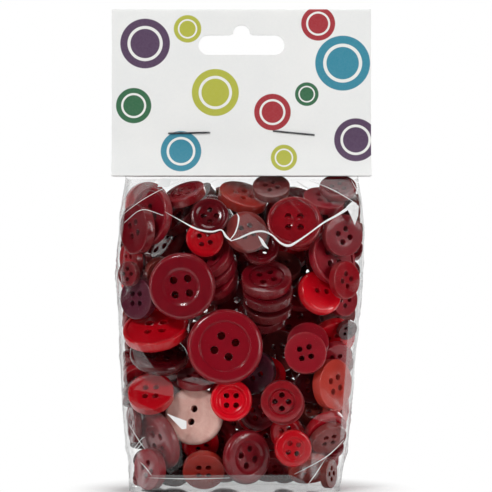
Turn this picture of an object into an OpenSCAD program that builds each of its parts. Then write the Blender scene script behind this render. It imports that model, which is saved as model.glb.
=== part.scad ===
// Hanging bag of loose buttons: a clear film bag, filled with sewing buttons of several
// styles, sizes and colours, closed by a folded header card that two wire staples hold.
// Lengths are in millimetres and angles in degrees. The front of the bag faces -Y.

/* [Header card] */
// Width of the card
card_w = 79.4; // [76:0.2:90]
// Height of each panel, from its lower edge to the fold
card_h = 51.2; // [46:0.2:60]
// Thickness of the card
card_t = 0.35; // [0.25:0.05:0.5]
// How far each panel's lower edge stands out from the panel above the staples
card_splay = 3.8; // [2.5:0.1:5]
// Play between the card and the film inside it
card_clear = 0.1; // [0.05:0.05:0.2]
// Drop from the card's lower edge to the film's shoulder
edge_drop = 0.6; // [0.4:0.1:1.5]

/* [Hang slot] */
// Width of the slot
slot_w = 26.4; // [20:0.2:32]
// Height of the straight part of the slot
slot_h = 6.1; // [5:0.1:7]
// Distance from the fold down to the straight part of the slot
slot_drop = 8; // [6:0.1:10]
// Height of the round hump above the straight part
hump_h = 3.1; // [2:0.1:4]
// Radius of the hump
hump_r = 2.6; // [2:0.1:4]

/* [Staples] */
// Width of a staple's crown
staple_w = 13; // [10:0.1:14]
// Diameter of the staple wire
wire_d = 0.55; // [0.4:0.05:0.7]
// Length of each clinched leg behind the card
clinch_l = 4.6; // [3:0.1:5.5]
// Height of the staples above the card's lower edge
staple_up = 13.2; // [12.5:0.1:15]
// Distance of each staple's middle from the card's middle
staple_x = 16; // [10:0.1:20]
// Turn of the left staple on the card
left_turn = 1; // [-6:0.5:6]
// Turn of the right staple on the card
right_turn = -5.5; // [-6:0.5:6]
// Play around a staple leg in its holes
leg_clear = 0.08; // [0.05:0.01:0.15]

/* [Film bag] */
// Nominal width of the filled bag
bag_w = 76; // [70:0.5:78]
// Depth of the filled bag, front to back
bag_d = 38; // [32:0.5:44]
// Height of the bag below the card
bag_h = 95.9; // [85:0.5:110]
// Thickness of the film
film_t = 0.15; // [0.1:0.01:0.25]
// Height of the flat mouth inside the card
collar_h = 20; // [18:0.5:28]
// Height over which the bag narrows to the card
shoulder_h = 15; // [12:0.5:20]
// How far the shoulder pleats stand out
pleat_h = 1.1; // [0.4:0.1:1.5]
// How far the folded bottom corners stand out
ear_h = 1.8; // [0.5:0.1:2.4]

/* [Buttons] */
// Length of one ligne, the unit of button diameters
ligne = 0.635; // [0.6:0.005:0.65]
// Width of the flat rim of a rimmed button
rim_w = 3.6; // [2.8:0.1:4]
// Width of the thin lip of a lipped button
lip_w = 1.1; // [0.8:0.1:1.5]
// Width of the round frame of a framed button
frame_w = 1.9; // [1.5:0.1:2.2]
// Distance of a stepped button's groove from its edge
step_w = 2.2; // [1.6:0.1:2.6]
// Depth of the well that holds the sewing holes
well_depth = 0.6; // [0.3:0.05:0.8]
// Play between two buttons
button_clear = 0.2; // [0.15:0.05:0.4]
// Play between a button and the film
film_clear = 0.25; // [0.15:0.05:0.5]

/* [Hidden] */
// Size table: ligne number, thickness, sewing hole diameter, hole spacing
SIZES = [
    [18, 2.4, 1.6, 2.7],
    [20, 2.6, 1.7, 2.9],
    [22, 2.8, 1.8, 3.2],
    [24, 3.0, 1.9, 3.4],
    [26, 3.2, 2.0, 3.7],
    [28, 3.4, 2.1, 4.0],
    [32, 3.8, 2.3, 4.4],
    [36, 4.2, 2.4, 4.8]
];

// Colour table
COLOURS = [
    ["crimson", "#8f1020"],
    ["red", "#b01022"],
    ["scarlet", "#cf1119"],
    ["burgundy", "#64101c"],
    ["maroon", "#470d16"],
    ["rosewood", "#6b3a38"],
    ["coral", "#b23a2c"],
    ["pearl", "#e6b3ac"],
    ["plum", "#3c0f22"],
    ["umber", "#5a2a20"]
];

// Button models: colour, style, ligne number
MODELS = [
    ["crimson", "rimmed", 36],
    ["crimson", "dished", 32],
    ["red", "lipped", 26],
    ["burgundy", "flat", 20],
    ["red", "stepped", 20],
    ["scarlet", "framed", 20],
    ["pearl", "domed", 28],
    ["scarlet", "shirt", 18],
    ["maroon", "dished", 18],
    ["scarlet", "dished", 18],
    ["coral", "flat", 24],
    ["rosewood", "flat", 20],
    ["burgundy", "dished", 26],
    ["burgundy", "lipped", 26],
    ["red", "flat", 18],
    ["scarlet", "domed", 22],
    ["maroon", "stepped", 24],
    ["rosewood", "flat", 18],
    ["maroon", "flat", 24],
    ["crimson", "lipped", 28],
    ["maroon", "dished", 28],
    ["red", "dished", 28],
    ["crimson", "flat", 20],
    ["scarlet", "lipped", 32],
    ["plum", "flat", 20],
    ["crimson", "stepped", 22],
    ["scarlet", "flat", 22],
    ["umber", "stepped", 18],
    ["red", "lipped", 24],
    ["burgundy", "rimmed", 28],
    ["coral", "flat", 20]
];

// The buttons that show at the front, nearest first: model name, place across in percent of
// half the bag's width, height in percent of the bag's height, lean from upright, the way the
// leaning face looks (0 right, 90 up) and the turn of its holes.
FRONT = [
    ["crimson_rimmed_36", -13, 46, 8, 90, -26],
    ["crimson_dished_32", -47, 65, 10, 200, 7],
    ["red_lipped_26", 42, 85, 24, 90, 0],
    ["burgundy_flat_20", 51, 44, 12, 120, 13],
    ["red_stepped_20", 32, 29, 8, 270, 45],
    ["scarlet_framed_20", -8, 29, 8, 90, 0],
    ["pearl_domed_28", -38, 24, 14, 150, 77],
    ["scarlet_shirt_18", 41, 14, 12, 0, -10],
    ["scarlet_shirt_18", -33, 15, 20, 270, 25],
    ["maroon_dished_18", -25, 87, 20, 90, 45],
    ["scarlet_dished_18", -29, 80, 20, 250, 15],
    ["burgundy_dished_26", 4, 11, 35, 0, 30],
    ["red_flat_18", 82, 67, 45, 0, 55],
    ["rosewood_flat_20", 4, 82, 25, 60, 20],
    ["coral_flat_24", 1, 93, 62, 73, 30],
    ["maroon_flat_24", -85, 83, 55, 180, 20],
    ["crimson_lipped_28", -72, 87, 50, 170, 40],
    ["red_stepped_20", -45, 94, 66, 110, 0],
    ["crimson_flat_20", -24, 95, 62, 90, 0],
    ["maroon_flat_24", -50, 88, 60, 140, 0],
    ["burgundy_lipped_26", 72, 74, 40, 20, 10],
    ["crimson_flat_20", 66, 92, 60, 80, 0],
    ["maroon_dished_18", 13, 25, 15, 0, 20],
    ["scarlet_domed_22", 63, 63, 35, 40, 0],
    ["maroon_stepped_24", 20, 67, 50, 90, 20],
    ["maroon_stepped_24", 21, 63, 50, 90, 50],
    ["maroon_stepped_24", 21, 59, 50, 90, 10],
    ["maroon_stepped_24", 17, 56, 50, 90, 70],
    ["rosewood_flat_18", 33, 71, 45, 80, 0],
    ["red_flat_18", 39, 75, 40, 90, 0],
    ["crimson_stepped_22", -24, 74, 45, 130, 10],
    ["crimson_stepped_22", -21, 71, 45, 130, 30],
    ["crimson_stepped_22", -20, 67, 45, 130, 50],
    ["maroon_dished_28", -62, 78, 65, 140, 0],
    ["red_dished_28", -67, 74, 65, 140, 20],
    ["plum_flat_20", -86, 61, 40, 180, 0],
    ["scarlet_lipped_32", -68, 51, 58, 100, 0],
    ["maroon_dished_28", -66, 43, 55, 80, 0],
    ["red_dished_28", -56, 37, 58, 270, 0],
    ["scarlet_flat_22", -72, 31, 40, 100, 0],
    ["burgundy_rimmed_28", -65, 16, 58, 200, 0],
    ["burgundy_dished_26", -16, 14, 55, 180, 0],
    ["coral_flat_20", -30, 7, 30, 270, 0],
    ["plum_flat_20", 11, 38, 20, 200, 30],
    ["scarlet_shirt_18", 21, 37, 30, 60, 0],
    ["rosewood_flat_20", 31, 44, 20, 180, 10],
    ["crimson_flat_20", 53, 47, 25, 90, 0],
    ["scarlet_flat_22", 76, 48, 40, 300, 20],
    ["coral_flat_24", 74, 34, 48, 0, 20],
    ["coral_flat_20", 82, 26, 60, 0, 0],
    ["umber_stepped_18", 59, 24, 30, 80, 30],
    ["rosewood_flat_18", 69, 17, 50, 300, 0],
    ["scarlet_dished_18", 37, 18, 30, 200, 20],
    ["red_stepped_20", 23, 7, 50, 270, 0],
    ["coral_flat_20", 54, 7, 50, 280, 0],
    ["maroon_dished_18", 15, 77, 30, 80, 0],
    ["burgundy_flat_20", 46, 63, 35, 60, 0],
    ["burgundy_dished_26", 43, 53, 25, 100, 0],
    ["crimson_lipped_28", 1, 58, 25, 60, 0],
    ["red_flat_18", 24, 18, 20, 120, 0],
    ["red_flat_18", -53, 29, 30, 200, 0],
    ["maroon_dished_18", -34, 37, 12, 200, 0],
    ["maroon_dished_18", 57, 33, 12, 110, 0],
    ["scarlet_dished_18", 80, 88, 55, 30, 0],
    ["maroon_dished_18", -88, 22, 55, 190, 0],
    ["red_flat_18", -92, 73, 60, 185, 0],
    ["maroon_dished_18", -90, 38, 45, 190, 0],
    ["burgundy_flat_20", -55, 56, 20, 230, 0],
    ["scarlet_framed_20", -2, 20, 30, 270, 20],
    ["maroon_stepped_24", -55, 8, 40, 0, 0],
    ["burgundy_lipped_26", 84, 80, 45, 0, 0],
    ["crimson_stepped_22", 76, 8, 45, 300, 0]
];

function row_of(table, key) = [for (row = table) if (row[0] == key) row][0];
function colour_of(name) = row_of(COLOURS, name)[1];
function short_name(m) = str(m[0], "_", m[1], "_", m[2]);
function node_name(m) = str("buttons_", short_name(m));
function model_of(name) = [for (m = MODELS) if (short_name(m) == name) m][0];
function radius_of(m) = m[2] * ligne / 2;
function half_of(m) = row_of(SIZES, m[2])[1] / 2;
function hole_of(m) = row_of(SIZES, m[2])[2];
function spacing_of(m) = row_of(SIZES, m[2])[3];

// Form of the card and the bag

// Side insets of the bag: height in percent of the bag's height, left inset, right inset
SIDES = [
    [0, 3.6, 8.2],
    [10, 4.6, 7],
    [20, 1, 4.2],
    [46, 0.8, 2.4],
    [60, 0, 1.4],
    [76, -0.8, 0.3],
    [88, 0.4, -0.2],
    [100, 2.8, 2.6],
    [122, 3, 3]
];
// Power of the rounded oblong that the bag's level sections follow
OBLONG = 4;
// Depth of the bag's foot as a part of its full depth, and the part of the body's height over
// which the foot widens
FOOT = 0.84;
FOOT_REACH = 0.6;
// Power of the curve by which the shoulder falls away to the neck
SHOULDER_FALL = 0.62;
// Height up to which the foot's folded corners reach
EAR_REACH = 8;
// How unevenly the pleats are spread, in degrees
PLEAT_SWAY = 50;
// Points around each level section
AROUND = 72;
// Pleats around the shoulder
PLEATS = 13;
// Levels of the bag's body, which lie closer near the foot, its shoulder and its neck
BODY_LEVELS = 10;
LEVEL_POWER = 1.4;
SHOULDER_LEVELS = 8;
NECK_LEVELS = 6;

// Half the gap between the two films at the flat mouth
mouth_half = 0.2;
// Inner face of each card panel above the bend, from the card's middle
card_gap = mouth_half + film_t + card_clear;
fold_z = bag_h + card_h;
staple_z = bag_h + staple_up;
// Height at which the panels start to stand out, just below the staples
BEND_DROP = 1.6;
bend_z = staple_z - BEND_DROP;
// Heights at which the bag starts to narrow and has narrowed to the card
neck_z = bag_h - edge_drop;
shoulder_z = neck_z - shoulder_h;
card_heights = [for (i = [0:NECK_LEVELS]) bag_h + (bend_z - bag_h) * i / NECK_LEVELS];

// Inner face of a card panel at a height, from the card's middle
function card_inside(z) =
    card_gap + card_splay * pow(max(0, bend_z - z) / (bend_z - bag_h), 2);

// Sides of the bag as smoothed lines of [height, place across]
LINE_STEP = 2;
LINE_BLUR = [-4, -2, 0, 2, 4];
function inset_rows(column) = [for (r = SIDES) [r[0] / 100 * bag_h, r[column]]];
function blurred(rows, z) =
    let (parts = [for (d = LINE_BLUR) lookup(z + d, rows)])
    parts * [for (p = parts) 1] / len(parts);
function inset_line(column) =
    let (rows = inset_rows(column))
    [for (z = [0:LINE_STEP:bag_h + collar_h + LINE_STEP]) [z, blurred(rows, z)]];
left_line = [for (p = inset_line(1)) [p[0], p[1] - bag_w / 2]];
right_line = [for (p = inset_line(2)) [p[0], bag_w / 2 - p[1]]];
function left_x(z) = lookup(z, left_line);
function right_x(z) = lookup(z, right_line);

// Half the bag's inner depth at a height
full_half = bag_d / 2 - film_t;
neck_half = card_inside(neck_z) - card_clear - film_t;
function half_depth(z) =
    z >= neck_z ? card_inside(z) - card_clear - film_t :
    z > shoulder_z ? neck_half + (full_half - neck_half) * shoulder_part((z - shoulder_z) / shoulder_h) :
    full_half * (FOOT + (1 - FOOT) * sin(90 * min(1, z / (FOOT_REACH * shoulder_z))));
function shoulder_part(t) = pow(1 - t * t, SHOULDER_FALL);

// Half the bag's inner depth at a place on its front
function depth_at(x, z) =
    let (across = abs(2 * x - left_x(z) - right_x(z)) / (right_x(z) - left_x(z)))
    across >= 1 ? 0 : half_depth(z) * pow(1 - pow(across, OBLONG), 1 / OBLONG);

// Settling of the buttons. A button is [centre, normal, radius, half thickness, layout row].

function unit(v) = v / norm(v);
function normal_of(lean, facing) = [sin(lean) * cos(facing), -cos(lean), sin(lean) * sin(facing)];

// How far a button reaches along a direction from its centre
function reach(b, u) =
    let (c = u * b[1])
    b[2] * sqrt(max(0, 1 - c * c)) + b[3] * abs(c);

// Points on both edges of a button, from its centre
function rim_points(b) =
    let (t = unit(cross(b[1], abs(b[1].z) < 0.9 ? [0, 0, 1] : [1, 0, 0])))
    let (s = cross(b[1], t))
    [for (a = [0:30:330], side = [-1, 1]) b[2] * (t * cos(a) + s * sin(a)) + side * b[3] * b[1]];

// Whether two buttons cross when seen from the front
function crossing(a, b) =
    let (d = [a[0].x - b[0].x, 0, a[0].z - b[0].z])
    let (apart = norm(d))
    apart >= a[2] + b[2] + button_clear ? false :
    let (side = d / max(apart, 0.001))
    apart < reach(a, side) + reach(b, side) + button_clear;

// How far behind b the centre of a has to lie, so that a plane fits between the two.
// The planes tried face along the two normals and along tilts towards the offset.
TILTS = [20, 38, 55, 70, 80];
// Planes that lie nearly along the depth give no place
LEAST_DEPTH = 0.05;
function behind(a, b) =
    let (d = [a[0].x - b[0].x, 0, a[0].z - b[0].z])
    let (side = d / max(norm(d), 0.001))
    let (na = a[1].y > 0 ? a[1] : -a[1])
    let (nb = b[1].y > 0 ? b[1] : -b[1])
    let (tilted = [for (t = TILTS) side * sin(t) + [0, cos(t), 0]])
    let (blends = [na + nb, na + side, nb + side, 2 * na + side, 2 * nb + side, na + nb + side])
    let (axes = concat(tilted, [[0, 1, 0], na, nb], [for (v = blends) unit(v)]))
    min([for (u = axes) if (u.y > LEAST_DEPTH) (button_clear + reach(a, u) + reach(b, u) - d * u) / u.y]);

// Spans of depth that earlier buttons take from button a, and the first free place among them
function spans(a, done) =
    [for (b = done) if (crossing(a, b)) [b[0].y - behind(b, a), b[0].y + behind(a, b)]];
function slip_back(y, taken) =
    let (hits = [for (s = taken) if (y > s[0] && y < s[1]) s[1]])
    len(hits) == 0 ? y : slip_back(max(hits), taken);
function slip_front(y, taken) =
    let (hits = [for (s = taken) if (y > s[0] && y < s[1]) s[0]])
    len(hits) == 0 ? y : slip_front(min(hits), taken);

// A button of the layout at its place across and up, held inside the bag's sides
function laid(row) =
    let (m = model_of(row[0]))
    let (b = [[0, 0, 0], normal_of(row[3], row[4]), radius_of(m), half_of(m), row])
    let (low = reach(b, [0, 0, 1]) + film_t + film_clear)
    let (z = max(low, row[2] / 100 * bag_h))
    let (rim = rim_points(b))
    let (side_clear = 4 * film_clear)
    let (left = max([for (p = rim) left_x(z + p.z) - p.x]) + side_clear)
    let (right = min([for (p = rim) right_x(z + p.z) - p.x]) - side_clear)
    let (x = min(right, max(left, row[1] / 100 * bag_w / 2)))
    moved(b, [x, 0, z]);
function moved(b, place) = [place, b[1], b[2], b[3], b[4]];

// Depths at which a button clears the front film and the back film
function room(b) =
    let (rim = rim_points(b))
    let (depths = [for (p = rim) depth_at(b[0].x + p.x, b[0].z + p.z) - film_clear])
    let (last = len(rim) - 1)
    [max([for (i = [0:last]) -depths[i] - rim[i].y]), min([for (i = [0:last]) depths[i] - rim[i].y])];

// Buttons are laid one by one, and one that finds no room is left out. Those laid "in order"
// lie behind every earlier one that they cross. Those laid "from the front" slip in as near
// the front as they fit, or behind the button that they follow, and those laid
// "from the back" as near the back as they fit.
function settle(how, rows, done, i = 0) =
    i == len(rows) ? done :
    let (b = laid(rows[i]))
    let (limits = room(b))
    let (taken = spans(b, done))
    let (start = rows[i][6] == undef ? limits[0] : max(limits[0], rows[i][6]))
    let (y = how == "in order" ? max(concat([start], [for (s = taken) s[1]])) :
             how == "from the front" ? slip_back(start, taken) : slip_front(limits[1], taken))
    let (fits = y >= limits[0] && y <= limits[1])
    settle(how, rows, fits ? concat(done, [moved(b, [b[0].x, y, b[0].z])]) : done, i + 1);

// Models that fill the bag behind the front buttons
MIX = [
    "crimson_dished_32", "red_stepped_20", "maroon_stepped_24", "crimson_flat_20", "scarlet_flat_22",
    "burgundy_rimmed_28", "red_lipped_24", "crimson_stepped_22", "maroon_dished_18", "coral_flat_24",
    "red_dished_28", "burgundy_lipped_26", "scarlet_dished_18", "crimson_lipped_28", "rosewood_flat_20",
    "red_flat_18", "maroon_flat_24", "scarlet_domed_22", "crimson_rimmed_36", "umber_stepped_18",
    "burgundy_dished_26", "red_lipped_26", "burgundy_flat_20"
];
SMALL = [
    "crimson_flat_20", "maroon_dished_18", "red_flat_18", "burgundy_flat_20", "scarlet_dished_18",
    "crimson_stepped_22", "rosewood_flat_18", "red_stepped_20", "umber_stepped_18", "scarlet_flat_22"
];
function pick(mix, draw) = mix[floor(draw * len(mix))];

// Layout rows on a jittered grid, with models and turns drawn from a seed
function grid_rows(mix, columns, lines, lean_from, lean_to, seed) =
    let (draws = rands(0, 1, columns * lines * 6, seed))
    [for (j = [0:lines - 1], i = [0:columns - 1])
        let (k = 6 * (j * columns + i))
        let (across = -90 + 180 * (i + 0.5 * (j % 2) + 0.5 * draws[k]) / columns)
        let (up = 6 + 88 * (j + 0.7 * draws[k + 1]) / lines)
        let (lean = lean_from + (lean_to - lean_from) * draws[k + 2])
        [pick(mix, draws[k + 3]), across, up, lean, 360 * draws[k + 4], 90 * draws[k + 5]]];

// Layout rows that lay one more button flat behind each button of a pile
function follower_rows(mix, done, sway, seed) =
    let (draws = rands(0, 1, 4 * len(done), seed))
    [for (i = [0:len(done) - 1])
        let (b = done[i], k = 4 * i)
        let (name = pick(mix, draws[k]))
        let (step = b[3] + half_of(model_of(name)) + button_clear)
        let (slide = b[2] / 2 * [draws[k + 1] - 0.5, 0, draws[k + 2] - 0.5])
        let (place = b[0] - step * b[1] + slide)
        let (lean = b[4][3] + sway * (draws[k + 3] - 0.5))
        [name, place.x / bag_w * 200, place.z / bag_h * 100, lean, b[4][4], 90 * draws[k + 3], b[0].y]];

// Whether a button covers a place on the bag's front
function covers(b, place) =
    let (tip = norm([b[1].x, b[1].z]))
    let (way = tip < 0.001 ? [1, 0] : [b[1].x, b[1].z] / tip)
    let (d = place - [b[0].x, b[0].z])
    pow(d * way / (b[2] * abs(b[1].y) + b[3] * tip), 2) + pow(d * [-way.y, way.x] / b[2], 2) < 1;

// Gaps that show through the pile are closed one by one with a small button, in the first way
// of leaning that finds room, as near the back as it fits and twice as clear of the film
GAPS = [for (up = [6:5:96], across = [-96:12:96]) [across, up]];
WAYS = [for (lean = [25, 50, 75, 130], facing = [0:90:270]) [lean, facing]];
function first_fit(name, gap, done, i = 0) =
    i == len(WAYS) ? undef :
    let (b = laid([name, gap[0], gap[1], WAYS[i][0], WAYS[i][1], 30]))
    let (limits = room(b))
    let (y = slip_front(limits[1] - film_clear, spans(b, done)))
    y >= limits[0] + film_clear ? moved(b, [b[0].x, y, b[0].z]) : first_fit(name, gap, done, i + 1);
function plugged(done, i = 0) =
    i == len(GAPS) ? done :
    let (place = [GAPS[i][0] / 200 * bag_w, GAPS[i][1] / 100 * bag_h])
    let (hidden = len([for (b = done) if (covers(b, place)) 1]) > 0)
    let (b = hidden ? undef : first_fit(SMALL[i % len(SMALL)], GAPS[i], done))
    plugged(b == undef ? done : concat(done, [b]), i + 1);

// The whole pile: the front buttons, two layers against the back film, followers, then plugs
IN_ORDER = 30;
first_rows = [for (i = [0:IN_ORDER - 1]) FRONT[i]];
other_rows = [for (i = [IN_ORDER:len(FRONT) - 1]) FRONT[i]];
front_pile = settle("from the front", other_rows, settle("in order", first_rows, []));
back_pile = settle("from the back", grid_rows(MIX, 5, 6, 155, 176, 3), front_pile);
two_piles = settle("from the back", grid_rows(MIX, 6, 8, 130, 175, 4), back_pile);
filled = settle("from the front", follower_rows(MIX, two_piles, 10, 71), two_piles);
fuller = settle("from the front", follower_rows(SMALL, filled, 16, 72), filled);
pile = plugged(fuller);

function copies_of(m) = [for (b = pile) if (b[4][0] == short_name(m)) b];
used_models = [for (m = MODELS) if (len(copies_of(m)) > 0) m];

// Button forms

// Points on an arc from one angle to another
function arc(x, y, r, from, to, steps = 3) =
    [for (i = [0:steps]) let (a = from + (to - from) * i / steps) [x + r * cos(a), y + r * sin(a)]];

// Half outline of a button's section, from the back's middle round to the front's middle
EDGE = 0.25;
BEVEL = 0.4;
// Hollow of a flat face, drop of a stepped button's middle, and slope of a well's floor
HOLLOW = 0.15;
STEP_DROP = 0.2;
SLOPE = 0.1;
function back_edge(r, h, e) = concat([[0, -h]], arc(r - e, e - h, e, -90, 0, 2));
function well_radius(m) = spacing_of(m) / sqrt(2) + hole_of(m) / 2 + BEVEL;
function outline(m) =
    let (r = radius_of(m), h = half_of(m), style = m[1], w = well_radius(m))
    let (soft = 0.8 * h, dip = h - well_depth)
    style == "flat" ? concat(back_edge(r, h, EDGE), arc(r - EDGE, h - EDGE, EDGE, 0, 90), [[0, h - HOLLOW]]) :
    style == "rimmed" ? concat(
        back_edge(r, h, soft), arc(r - soft, h - soft, soft, 0, 90),
        [[r - rim_w, h], [r - rim_w - BEVEL, dip], [0, dip - SLOPE]]) :
    style == "dished" ? concat(
        back_edge(r, h, soft), arc(r - soft, h - soft, soft, 0, 90),
        [[w + 3 * BEVEL, h], [w + BEVEL, h - 0.7 * well_depth], [w - BEVEL, dip], [0, dip]]) :
    style == "lipped" ? concat(
        back_edge(r, h, soft), arc(r - lip_w / 2, h - lip_w / 2, lip_w / 2, 0, 180),
        [[r - lip_w - BEVEL / 2, dip], [0, dip + SLOPE]]) :
    style == "stepped" ? concat(
        back_edge(r, h, EDGE), arc(r - EDGE, h - EDGE, EDGE, 0, 90),
        [[r - step_w, h], [r - step_w - BEVEL / 2, dip], [r - step_w - 1.5 * BEVEL, dip],
         [r - step_w - 2 * BEVEL, h - STEP_DROP], [0, h - STEP_DROP]]) :
    style == "framed" ? concat(
        back_edge(r, h, soft), arc(r - frame_w / 2, h - frame_w / 2, frame_w / 2, 0, 150, 5),
        [[r - frame_w, dip], [w + BEVEL, dip + HOLLOW], [w, dip], [0, dip]]) :
    style == "domed" ? concat(
        back_edge(r, h, EDGE), arc(r - h, 0, h, 0, 60),
        [[0.6 * r, h - SLOPE], [0.3 * r, h], [0, h]]) :
    concat(
        back_edge(r, h, soft), arc(r - soft, h - soft, soft, 0, 90),
        [[w + BEVEL, h], [w, dip], [0, dip]]);

module button(m) {
    corners = m[1] == "domed" ? [0, 180] : [45, 135, 225, 315];
    from_middle = m[1] == "domed" ? spacing_of(m) / 2 : spacing_of(m) / sqrt(2);
    difference() {
        rotate_extrude($fn = 64) polygon(outline(m));
        for (a = corners)
            rotate([0, 0, a])
                translate([from_middle, 0, -half_of(m) - 1])
                    cylinder(d = hole_of(m), h = 2 * half_of(m) + 2, $fn = 24);
    }
}

// Puts a button drawn flat on Z into its place in the pile
module placed(b) {
    facing = b[4][4];
    translate(b[0])
        rotate(a = b[4][3], v = [-sin(facing), 0, cos(facing)])
            rotate([90, 0, 0])
                rotate([0, 0, b[4][5]])
                    children();
}

module buttons(m) {
    color(colour_of(m[0]))
        for (b = copies_of(m))
            placed(b) button(m);
}

// Header card

// How far the hump's foot spreads on each side
HUMP_FOOT = 1;

module slot_outline() {
    straight = slot_w - slot_h;
    hump_y = slot_h / 2 + hump_h - hump_r;
    square([straight, slot_h], center = true);
    for (side = [-1, 1])
        translate([side * straight / 2, 0])
            circle(d = slot_h, $fn = 48);
    translate([0, hump_y])
        circle(r = hump_r, $fn = 48);
    foot = hump_r + HUMP_FOOT;
    polygon([[-foot, 0], [foot, 0], [foot, slot_h / 2], [hump_r, hump_y], [-hump_r, hump_y],
             [-foot, slot_h / 2]]);
}

module card_section() {
    bend = fold_z - card_gap - card_t;
    front = [for (z = card_heights) [card_inside(z), z]];
    half_in = concat(front, arc(0, bend, card_gap, 0, 180, 8));
    half_out = arc(0, bend, card_gap + card_t, 180, 0, 12);
    back_in = [for (p = front) [-p[0], p[1]]];
    right_out = [for (i = [NECK_LEVELS:-1:0]) [front[i][0] + card_t, front[i][1]]];
    left_out = [for (p = front) [-p[0] - card_t, p[1]]];
    left_in = [for (i = [NECK_LEVELS:-1:0]) back_in[i]];
    polygon(concat(half_in, left_in, left_out, half_out, right_out));
}

module header_card() {
    slot_z = fold_z - slot_drop - slot_h / 2;
    color("white")
        difference() {
            rotate([90, 0, 90])
                translate([0, 0, -card_w / 2])
                    linear_extrude(height = card_w)
                        card_section();
            translate([0, card_splay, slot_z])
                rotate([90, 0, 0])
                    linear_extrude(height = 2 * card_splay)
                        slot_outline();
            leg_holes();
        }
}

// Staples

elbow_r = 0.8 * wire_d;
leg_x = staple_w / 2 - wire_d / 2;
// Play between the staples and the card
STAPLE_CLEAR = 0.05;
crown_y = card_gap + card_t + wire_d / 2 + STAPLE_CLEAR;

module staple_place(side) {
    translate([side * staple_x, 0, staple_z])
        rotate([0, side < 0 ? -left_turn : -right_turn, 0])
            children();
}

module leg_holes() {
    for (side = [-1, 1])
        staple_place(side)
            for (end = [-1, 1])
                translate([end * leg_x, crown_y, 0])
                    rotate([90, 0, 0])
                        cylinder(d = wire_d + 2 * leg_clear, h = 2 * crown_y, $fn = 24);
}

// One bent corner of the wire, from along X to along Y
module elbow(turn) {
    rotate([0, 0, turn])
        translate([-elbow_r, -elbow_r, 0])
            rotate_extrude(angle = 90, $fn = 48)
                translate([elbow_r, 0])
                    circle(d = wire_d, $fn = 24);
}

module wire(from, to) {
    run = to - from;
    translate(from)
        rotate([0, 0, atan2(run.y, run.x)])
            rotate([0, 90, 0])
                cylinder(d = wire_d, h = norm(run), $fn = 24);
}

module staple() {
    wire([elbow_r - leg_x, -crown_y, 0], [leg_x - elbow_r, -crown_y, 0]);
    for (end = [-1, 1]) {
        wire([end * leg_x, elbow_r - crown_y, 0], [end * leg_x, crown_y - elbow_r, 0]);
        wire([end * (leg_x - elbow_r), crown_y, 0], [end * (leg_x - clinch_l), crown_y, 0]);
        translate([end * leg_x, -crown_y, 0])
            elbow(end > 0 ? 270 : 180);
        translate([end * leg_x, crown_y, 0])
            elbow(end > 0 ? 0 : 90);
    }
}

module staple_left() {
    color("silver") staple_place(-1) staple();
}

module staple_right() {
    color("silver") staple_place(1) staple();
}

// Film bag

body_heights = [for (i = [0:BODY_LEVELS]) shoulder_z * pow(i / BODY_LEVELS, LEVEL_POWER)];
shoulder_heights = [for (i = [1:SHOULDER_LEVELS]) shoulder_z + shoulder_h * sin(90 * i / SHOULDER_LEVELS)];
heights = concat(
    body_heights, shoulder_heights, card_heights, [bag_h + collar_h]
);

// Pleats under the card and the folded corners of the foot, which stand out from the bag
function swell(z, from, to) = z <= from || z >= to ? 0 : pow(sin(180 * (z - from) / (to - from)), 2);
function fold_out(a, z) =
    let (turn = min(a, 360 - a))
    let (pleat = pow(max(0, sin(PLEATS * turn + PLEAT_SWAY * sin(3 * turn))), 2))
    let (ear = pow(max(0, -cos(4 * a)), 4) * max(0, 1 - z / EAR_REACH))
    pleat_h * pleat * swell(z, shoulder_z - shoulder_h, neck_z) + ear_h * ear;

// One level section of the film, grown by the film's thickness on its outside
function section(z, grown) =
    let (middle = (left_x(z) + right_x(z)) / 2, half_w = (right_x(z) - left_x(z)) / 2)
    let (slope = (half_depth(z + 0.2) - half_depth(z - 0.2)) / 0.4)
    let (out = grown ? film_t / sqrt(1 + slope * slope) : 0, up = z == 0 ? 0 : -slope * out)
    let (level = z == 0 && !grown ? film_t : z)
    [for (i = [0:AROUND - 1])
        let (a = 360 * i / AROUND)
        let (stretch = pow(pow(cos(a), OBLONG) + pow(sin(a), OBLONG), -1 / OBLONG))
        let (lift = fold_out(a, z))
        [middle + ((half_w + out) * stretch + lift) * cos(a),
         ((half_depth(z) + out) * stretch + lift) * sin(a), level + up]];

module film_bag() {
    last = len(heights) - 1;
    outer = [for (z = heights) section(z, true)];
    inner = [for (i = [last:-1:0]) section(heights[i], false)];
    rings = concat(outer, inner);
    rows = len(rings);
    points = [for (ring = rings) each ring];
    function at(ring, i) = ring * AROUND + i % AROUND;
    walls = [for (ring = [0:rows - 2], i = [0:AROUND - 1])
        each [[at(ring, i), at(ring + 1, i), at(ring + 1, i + 1)],
              [at(ring, i), at(ring + 1, i + 1), at(ring, i + 1)]]];
    foot = [for (i = [0:AROUND - 1]) at(0, i)];
    floor_inside = [for (i = [AROUND - 1:-1:0]) at(rows - 1, i)];
    color("white", 0.3)
        difference() {
            polyhedron(points, concat(walls, [foot, floor_inside]));
            leg_holes();
        }
}

header_card();
film_bag();
staple_left();
staple_right();
for (m = used_models)
    buttons(m);
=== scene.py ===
# %% [markdown]
# # A hanging bag of loose buttons
# The object is a clear film bag full of red sewing buttons, closed by a folded white header card that two
# wire staples hold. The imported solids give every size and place. This lesson dresses them: each button gets
# a fine turned form, the film gets its facets, creases and gloss, and the card gets its print.

# %% Load the frame
import math

import bmesh
import bpy
import numpy as np
from mathutils import Matrix, Vector
from mathutils.bvhtree import BVHTree
from mathutils.geometry import delaunay_2d_cdt


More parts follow.
